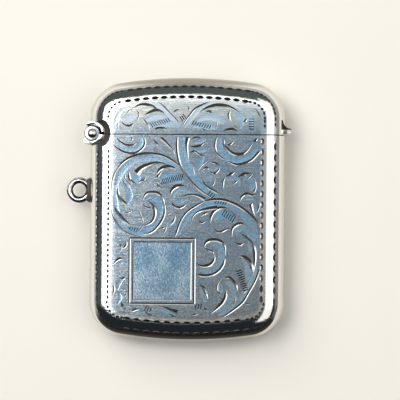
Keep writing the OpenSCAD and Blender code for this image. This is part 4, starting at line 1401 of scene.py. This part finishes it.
@finish
def dished_finish(name, finishes):
    """Tarnished silver round the hinge, painted darker as shade deeper in its dish and lighter towards its
    rim.
    """
    material = metal_finish(name, finishes.tarnish, finishes.oxide, 0.8, 0.35, 0.5)
    # Painted shade: darker deeper in the dish, lighter towards its rim
    shade_by_place(material, "Depth", 0.16, 0.02, finishes.sides, 0.2)
    return material


@finish
def worn_finish(name, finishes):
    """Silver of the pin's heads, worn dull."""
    return metal_finish(name, finishes.silver, finishes.tarnish, 0.5, 0.35, 0.5)


@finish
def collar_finish(name, finishes):
    """Tarnished silver of the collar, with painted shade, black, along the seam."""
    material = metal_finish(name, finishes.tarnish, finishes.oxide, 0.6, 0.3, 0.5)
    # Painted shade: black along the seam's gap
    shade_by_place(material, "Along", 12.9, 13.2, finishes.oxide, 0.5)
    shade_by_place(material, "Along", 13.5, 13.8, finishes.tarnish, 0.3)
    return material


@finish
def plain_finish(name, finishes):
    """Plain polished silver of the small fittings."""
    return metal_finish(name, finishes.silver, finishes.tarnish, 0.45, 0.10, 0.5)


@finish
def gilt_finish(name, finishes):
    """Gilding inside the case."""
    return metal_finish(name, finishes.gilt, finishes.tarnish, 0.35, 0.3, 0.6)


@finish
def steel_finish(name, finishes):
    """Grey steel of the striker."""
    return metal_finish(name, finishes.steel, finishes.oxide, 0.5, 0.35, 0.8)


@finish
def spring_finish(name, finishes):
    """Blued spring steel."""
    return metal_finish(name, finishes.spring, finishes.oxide, 0.4, 0.3, 0.6)


def turned(profile, centre, steps=72):
    """A closed piece turned on a lathe about an upright axis, from a profile of (radius, height) points."""
    deselect()
    bpy.ops.mesh.primitive_circle_add(vertices=len(profile), fill_type="NOTHING")
    piece = bpy.context.object
    for vertex, (radius, height) in zip(piece.data.vertices, profile):
        vertex.co = (centre[0] + radius, centre[1], height)
    with editing(piece):
        bpy.ops.mesh.select_all(action="SELECT")
        bpy.ops.mesh.spin(steps=steps, angle=2 * math.pi, center=(*centre, 0), axis=(0, 0, 1))
        bpy.ops.mesh.select_all(action="SELECT")
        bpy.ops.mesh.remove_doubles(threshold=0.0005)
        bpy.ops.mesh.normals_make_consistent(inside=False)
    return piece


def plate(outline, low, high):
    """A flat plate of an outline, between two heights."""
    deselect()
    bpy.ops.mesh.primitive_circle_add(vertices=len(outline), fill_type="NGON")
    piece = bpy.context.object
    for vertex, (x, y) in zip(piece.data.vertices, outline):
        vertex.co = (x, y, low)
    with editing(piece):
        bpy.ops.mesh.select_all(action="SELECT")
        bpy.ops.mesh.extrude_region_move(TRANSFORM_OT_translate={"value": (0, 0, high - low)})
        bpy.ops.mesh.select_all(action="SELECT")
        bpy.ops.mesh.normals_make_consistent(inside=False)
    return piece


def soften(piece, width):
    """Rounds a piece's sharp edges."""
    apply_modifier(
        piece, "BEVEL", width=width, segments=3, limit_method="ANGLE", angle_limit=math.radians(35)
    )


def combine(piece, other, operation):
    """Joins another solid to a piece, or keeps only what they share, and removes the other."""
    apply_modifier(piece, "BOOLEAN", operation=operation, object=other, solver="MANIFOLD")
    deselect()
    bpy.data.objects.remove(other)


def coat(piece, first, second=None, test=None):
    """Gives a piece its finish, and a second one to the faces that pass a test."""
    piece.data.materials.clear()
    piece.data.materials.append(first)
    if second:
        piece.data.materials.append(second)
    for face in piece.data.polygons:
        face.material_index = 1 if second and test(face) else 0


class VESTA_OT_hinge(bpy.types.Operator):
    """Model the hinge: the body's two knuckles, the pin through them and the plates round them"""

    bl_idname = "vesta.hinge"
    bl_label = "Hinge"

    def execute(self, context):
        sizes = in_millimetres(context.scene.vesta_sizes)
        self.axis = (-sizes.hinge_x, sizes.hinge_y)
        self.make_knuckle(sizes, "body_knuckle_front", lambda z: sizes.thickness - z)
        self.make_knuckle(sizes, "body_knuckle_back", lambda z: z)
        self.make_pin(sizes)
        self.make_hood(sizes)
        self.make_lobe(sizes)
        return {"FINISHED"}

    def make_knuckle(self, sizes, name, height):
        """A bored knuckle with a rounded outer end."""
        end = sizes.barrel_end
        inner = end + sizes.knuckle_length
        clearance = 0.02
        fillet = 0.3
        radius, bore = sizes.knuckle_radius, sizes.pin_radius + clearance
        profile = [(bore, end), (radius - fillet, end)]
        profile += arc((radius - fillet, end + fillet), fillet, -75, 0, 5)
        profile += [(radius, end + fillet), (radius, inner), (bore, inner)]
        knuckle = turned([(r, height(z)) for r, z in profile], self.axis)
        # Faces across the gap from the lid's plate are painted dark as shade
        coat(knuckle, plain_finish(), dirt_finish(), self.faces_hood)
        settle(knuckle, name, "body")

    def make_pin(self, sizes):
        """The pin, with a domed head at either end."""
        low = sizes.barrel_end
        high = sizes.thickness - low
        angles = [math.radians(15) * k for k in range(7)]
        dome = [(sizes.pin_head * math.sin(a), sizes.pin_rise * math.cos(a)) for a in angles]
        shaft = sizes.pin_radius
        profile = [(r, low - z) for r, z in dome] + [(shaft, low), (shaft, high)]
        profile += [(r, high + z) for r, z in reversed(dome)]
        pin = turned(profile, self.axis)
        # Painted shade: the faces turned towards the base are painted dark
        coat(pin, worn_finish(), dirt_finish(), lambda face: face.normal.y < -0.15)
        settle(pin, "hinge_pin", "body")

    def make_hood(self, sizes):
        """The lid's plate: a crescent over the knuckles, pointed at its outer end."""
        root, tip = 5, 128
        thin_from, point_from = 50, 98
        inside, outside = sizes.plate_inside, sizes.plate_outside
        outline = []
        for angle in range(root, tip + 1, 6):
            point = max(0.0, (angle - point_from) / (tip - point_from))
            thick = max(0.0, (thin_from - angle) / thin_from)
            outline.append(on_circle(self.axis, outside - 0.30 * point**2 + 0.22 * thick, angle))
        outline += arc(self.axis, inside, tip, root, 32)
        outline.append(on_circle(self.axis, inside, root))
        hood = plate(outline, sizes.barrel_end, sizes.thickness - sizes.barrel_end)
        soften(hood, 0.11)
        # Faces towards the hinge's axis are painted dark as shade
        coat(hood, plain_finish(), dirt_finish(), self.faces_axis)
        settle(hood, "lid_hinge_bearing", "lid")

    def make_lobe(self, sizes):
        """The body's plate: a lobe joined to the knuckles from below, with room for the lid's knuckle."""
        low = sizes.barrel_end
        high = sizes.thickness - low
        inner = low + sizes.knuckle_length
        sunk = 0.05
        overlap = 0.1
        outline = self.lobe_edge(sizes, LOBE_FROM, LOBE_TO)
        outline += arc(self.axis, sizes.knuckle_radius - sunk, LOBE_TO, LOBE_FROM, 37)
        lobe = plate(outline, low, inner)
        combine(lobe, plate(outline, sizes.thickness - inner, high), "UNION")
        bridge = arc(self.axis, sizes.plate_inside, BRIDGE_TO, BRIDGE_FROM, 16)
        bridge += self.lobe_edge(sizes, BRIDGE_FROM, BRIDGE_TO)
        combine(lobe, plate(bridge, inner - overlap, sizes.thickness - inner + overlap), "UNION")
        soften(lobe, 0.1)
        coat(lobe, plain_finish())
        settle(lobe, "body_hinge_bearing", "body")

    def lobe_edge(self, sizes, start, end):
        """Points along the lobe's outer edge, from one angle to another."""
        angles = range(start, end + 1, 4)
        return [on_circle(self.axis, self.lobe_reach(sizes, angle), angle) for angle in angles]

    def lobe_reach(self, sizes, angle):
        """How far the lobe reaches from the axis: it grows at its tail and tab, and has a waist between."""
        if angle < BRIDGE_FROM:
            return sizes.knuckle_radius + 0.2 * (angle - LOBE_FROM) / (BRIDGE_FROM - LOBE_FROM)
        waist_at, tab_from = 296, 330
        waist = math.exp(-(((angle - waist_at) / 30) ** 2))
        tab = max(0.0, (angle - tab_from) / 28)
        return sizes.plate_outside - 0.36 * waist + 0.2 * tab

    def outward(self, face):
        """The direction from the hinge's axis to a face."""
        return Vector((face.center.x - self.axis[0], face.center.y - self.axis[1], 0)).normalized()

    def faces_axis(self, face):
        """Whether a face looks towards the hinge's axis, where it is painted dark as shade."""
        return face.normal.dot(self.outward(face)) < -0.3

    def faces_hood(self, face):
        """Whether a face looks outwards at the lid's plate, across a gap that is painted dark as shade."""
        away = self.outward(face)
        return face.normal.dot(away) > 0.25 and away.x > -0.6 and away.y > -0.05


class VESTA_OT_loop(bpy.types.Operator):
    """Model the ring on the side of the case and the foot that it is soldered to"""

    bl_idname = "vesta.loop"
    bl_label = "Suspension loop"

    def execute(self, context):
        sizes = in_millimetres(context.scene.vesta_sizes)
        middle = sizes.thickness / 2
        deselect()
        bpy.ops.mesh.primitive_torus_add(
            location=(-sizes.loop_x, sizes.loop_y, middle),
            major_radius=sizes.loop_radius,
            minor_radius=sizes.loop_wire,
            major_segments=72,
            minor_segments=24,
        )
        ring = bpy.context.object
        bpy.ops.object.transform_apply(location=True)
        with editing(ring):
            bpy.ops.mesh.select_all(action="SELECT")
            bpy.ops.mesh.bisect(
                plane_co=(-sizes.foot_x, 0, 0), plane_no=(1, 0, 0), use_fill=True, clear_outer=True
            )
        # Painted shade: the inside of the ring and the low side of its outside are painted dark
        coat(ring, plain_finish(), dirt_finish(), lambda face: self.unrubbed(sizes, face))
        settle(ring, "suspension_loop", "body")
        half = sizes.foot_length / 2
        sunk, proud = 0.05, 0.12
        wall = -sizes.half_width + sunk
        outer = -sizes.foot_x - proud
        flank = [(wall, half - 0.05), (wall - 0.18, half - 0.2)]
        flank += [(outer + 0.1, half - 0.4), (outer, half - 0.75)]
        outline = [(x, sizes.loop_y + y) for x, y in flank]
        outline += [(x, sizes.loop_y - y) for x, y in reversed(flank)]
        foot = plate(outline, middle - sizes.foot_width / 2, middle + sizes.foot_width / 2)
        soften(foot, 0.16)
        # The whole foot is painted dark, as shade where it meets the ring and the side
        coat(foot, dirt_finish())
        settle(foot, "loop_foot", "body")
        return {"FINISHED"}

    def unrubbed(self, sizes, face):
        """Whether a face of the ring is painted dark as shade: inside the ring, or low on its outside."""
        outward = Vector((face.center.x + sizes.loop_x, face.center.y - sizes.loop_y, 0)).normalized()
        facing = face.normal.dot(outward)
        return facing < -0.5 or facing > 0.9 or (facing > 0.5 and face.normal.y < 0)


class VESTA_OT_thumbpiece(bpy.types.Operator):
    """Model the hollowed thumbpiece on the side of the lid"""

    bl_idname = "vesta.thumbpiece"
    bl_label = "Thumbpiece"

    def execute(self, context):
        sizes = in_millimetres(context.scene.vesta_sizes)
        off_axis, sunk = 0.08, 0.7
        low = sizes.hinge_y + off_axis
        high = low + sizes.thumb_height
        tip = sizes.thumb_reach
        root = sizes.half_width - sunk
        outline = [(root, low), (tip - 0.12, low), (tip, low + 0.15), (tip, low + sizes.thumb_tip)]
        outline += arc((tip, high), sizes.thumb_hollow, 270, 180, 12)[1:]
        outline += [(tip - sizes.thumb_hollow, high), (root, high)]
        half = math.sqrt(sizes.thumb_plan**2 - (root - tip + sizes.thumb_plan) ** 2)
        middle = sizes.thickness / 2
        thumb = plate(outline, middle - half, middle + half)
        deselect()
        bpy.ops.mesh.primitive_cylinder_add(
            vertices=96,
            radius=sizes.thumb_plan,
            depth=3 * sizes.thumb_height,
            location=(tip - sizes.thumb_plan, low, middle),
            rotation=(math.radians(90), 0, 0),
        )
        combine(thumb, bpy.context.object, "INTERSECT")
        soften(thumb, 0.1)
        spur = low + 0.75 * sizes.thumb_tip
        with editing(thumb):
            bpy.ops.mesh.select_all(action="SELECT")
            bpy.ops.mesh.bisect(plane_co=(0, spur, 0), plane_no=(0, 1, 0))
        # Painted shade: the hollow above the spur is painted dark
        coat(thumb, plain_finish(), dirt_finish(), lambda face: face.center.y > spur)
        settle(thumb, "thumbpiece", "lid")
        return {"FINISHED"}


class VESTA_OT_fittings(bpy.types.Operator):
    """Give the carried-over parts their finishes"""

    bl_idname = "vesta.fittings"
    bl_label = "Finishes of the fittings"

    def execute(self, context):
        finishes = {
            "mouth_collar": collar_finish(),
            "striker_plate": steel_finish(),
            "lid_knuckle": plain_finish(),
            "lid_spring": spring_finish(),
            "spring_block": plain_finish(),
            "spring_rivet": plain_finish(),
        }
        for node, material in finishes.items():
            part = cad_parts[node]
            part.data.materials.clear()
            part.data.materials.append(material)
        return {"FINISHED"}


class VESTA_PT_panel(bpy.types.Panel):
    """The case's sizes, finishes and steps"""

    bl_idname = "VESTA_PT_panel"
    bl_label = "Vesta Case"
    bl_space_type = "VIEW_3D"
    bl_region_type = "UI"
    bl_category = "Vesta"

    def draw(self, context):
        column = self.layout.column()
        for step in STEPS:
            column.operator(step.bl_idname)
        for group in (context.scene.vesta_sizes, context.scene.vesta_finishes):
            box = self.layout.box()
            for name in group.__annotations__:
                box.prop(group, name)


STEPS = (
    VESTA_OT_stage,
    VESTA_OT_shells,
    VESTA_OT_hinge,
    VESTA_OT_loop,
    VESTA_OT_thumbpiece,
    VESTA_OT_fittings,
)
CLASSES = (VestaSizes, VestaFinishes, *STEPS, VESTA_PT_panel)


def register():
    for cls in CLASSES:
        bpy.utils.register_class(cls)
    bpy.types.Scene.vesta_sizes = bpy.props.PointerProperty(type=VestaSizes)
    bpy.types.Scene.vesta_finishes = bpy.props.PointerProperty(type=VestaFinishes)


def unregister():
    del bpy.types.Scene.vesta_finishes
    del bpy.types.Scene.vesta_sizes
    for cls in reversed(CLASSES):
        bpy.utils.unregister_class(cls)


def main():
    """Makes the whole scene."""
    register()
    bpy.ops.vesta.stage()
    bpy.ops.vesta.shells()
    bpy.ops.vesta.hinge()
    bpy.ops.vesta.loop()
    bpy.ops.vesta.thumbpiece()
    bpy.ops.vesta.fittings()


if __name__ == "__main__":
    main()
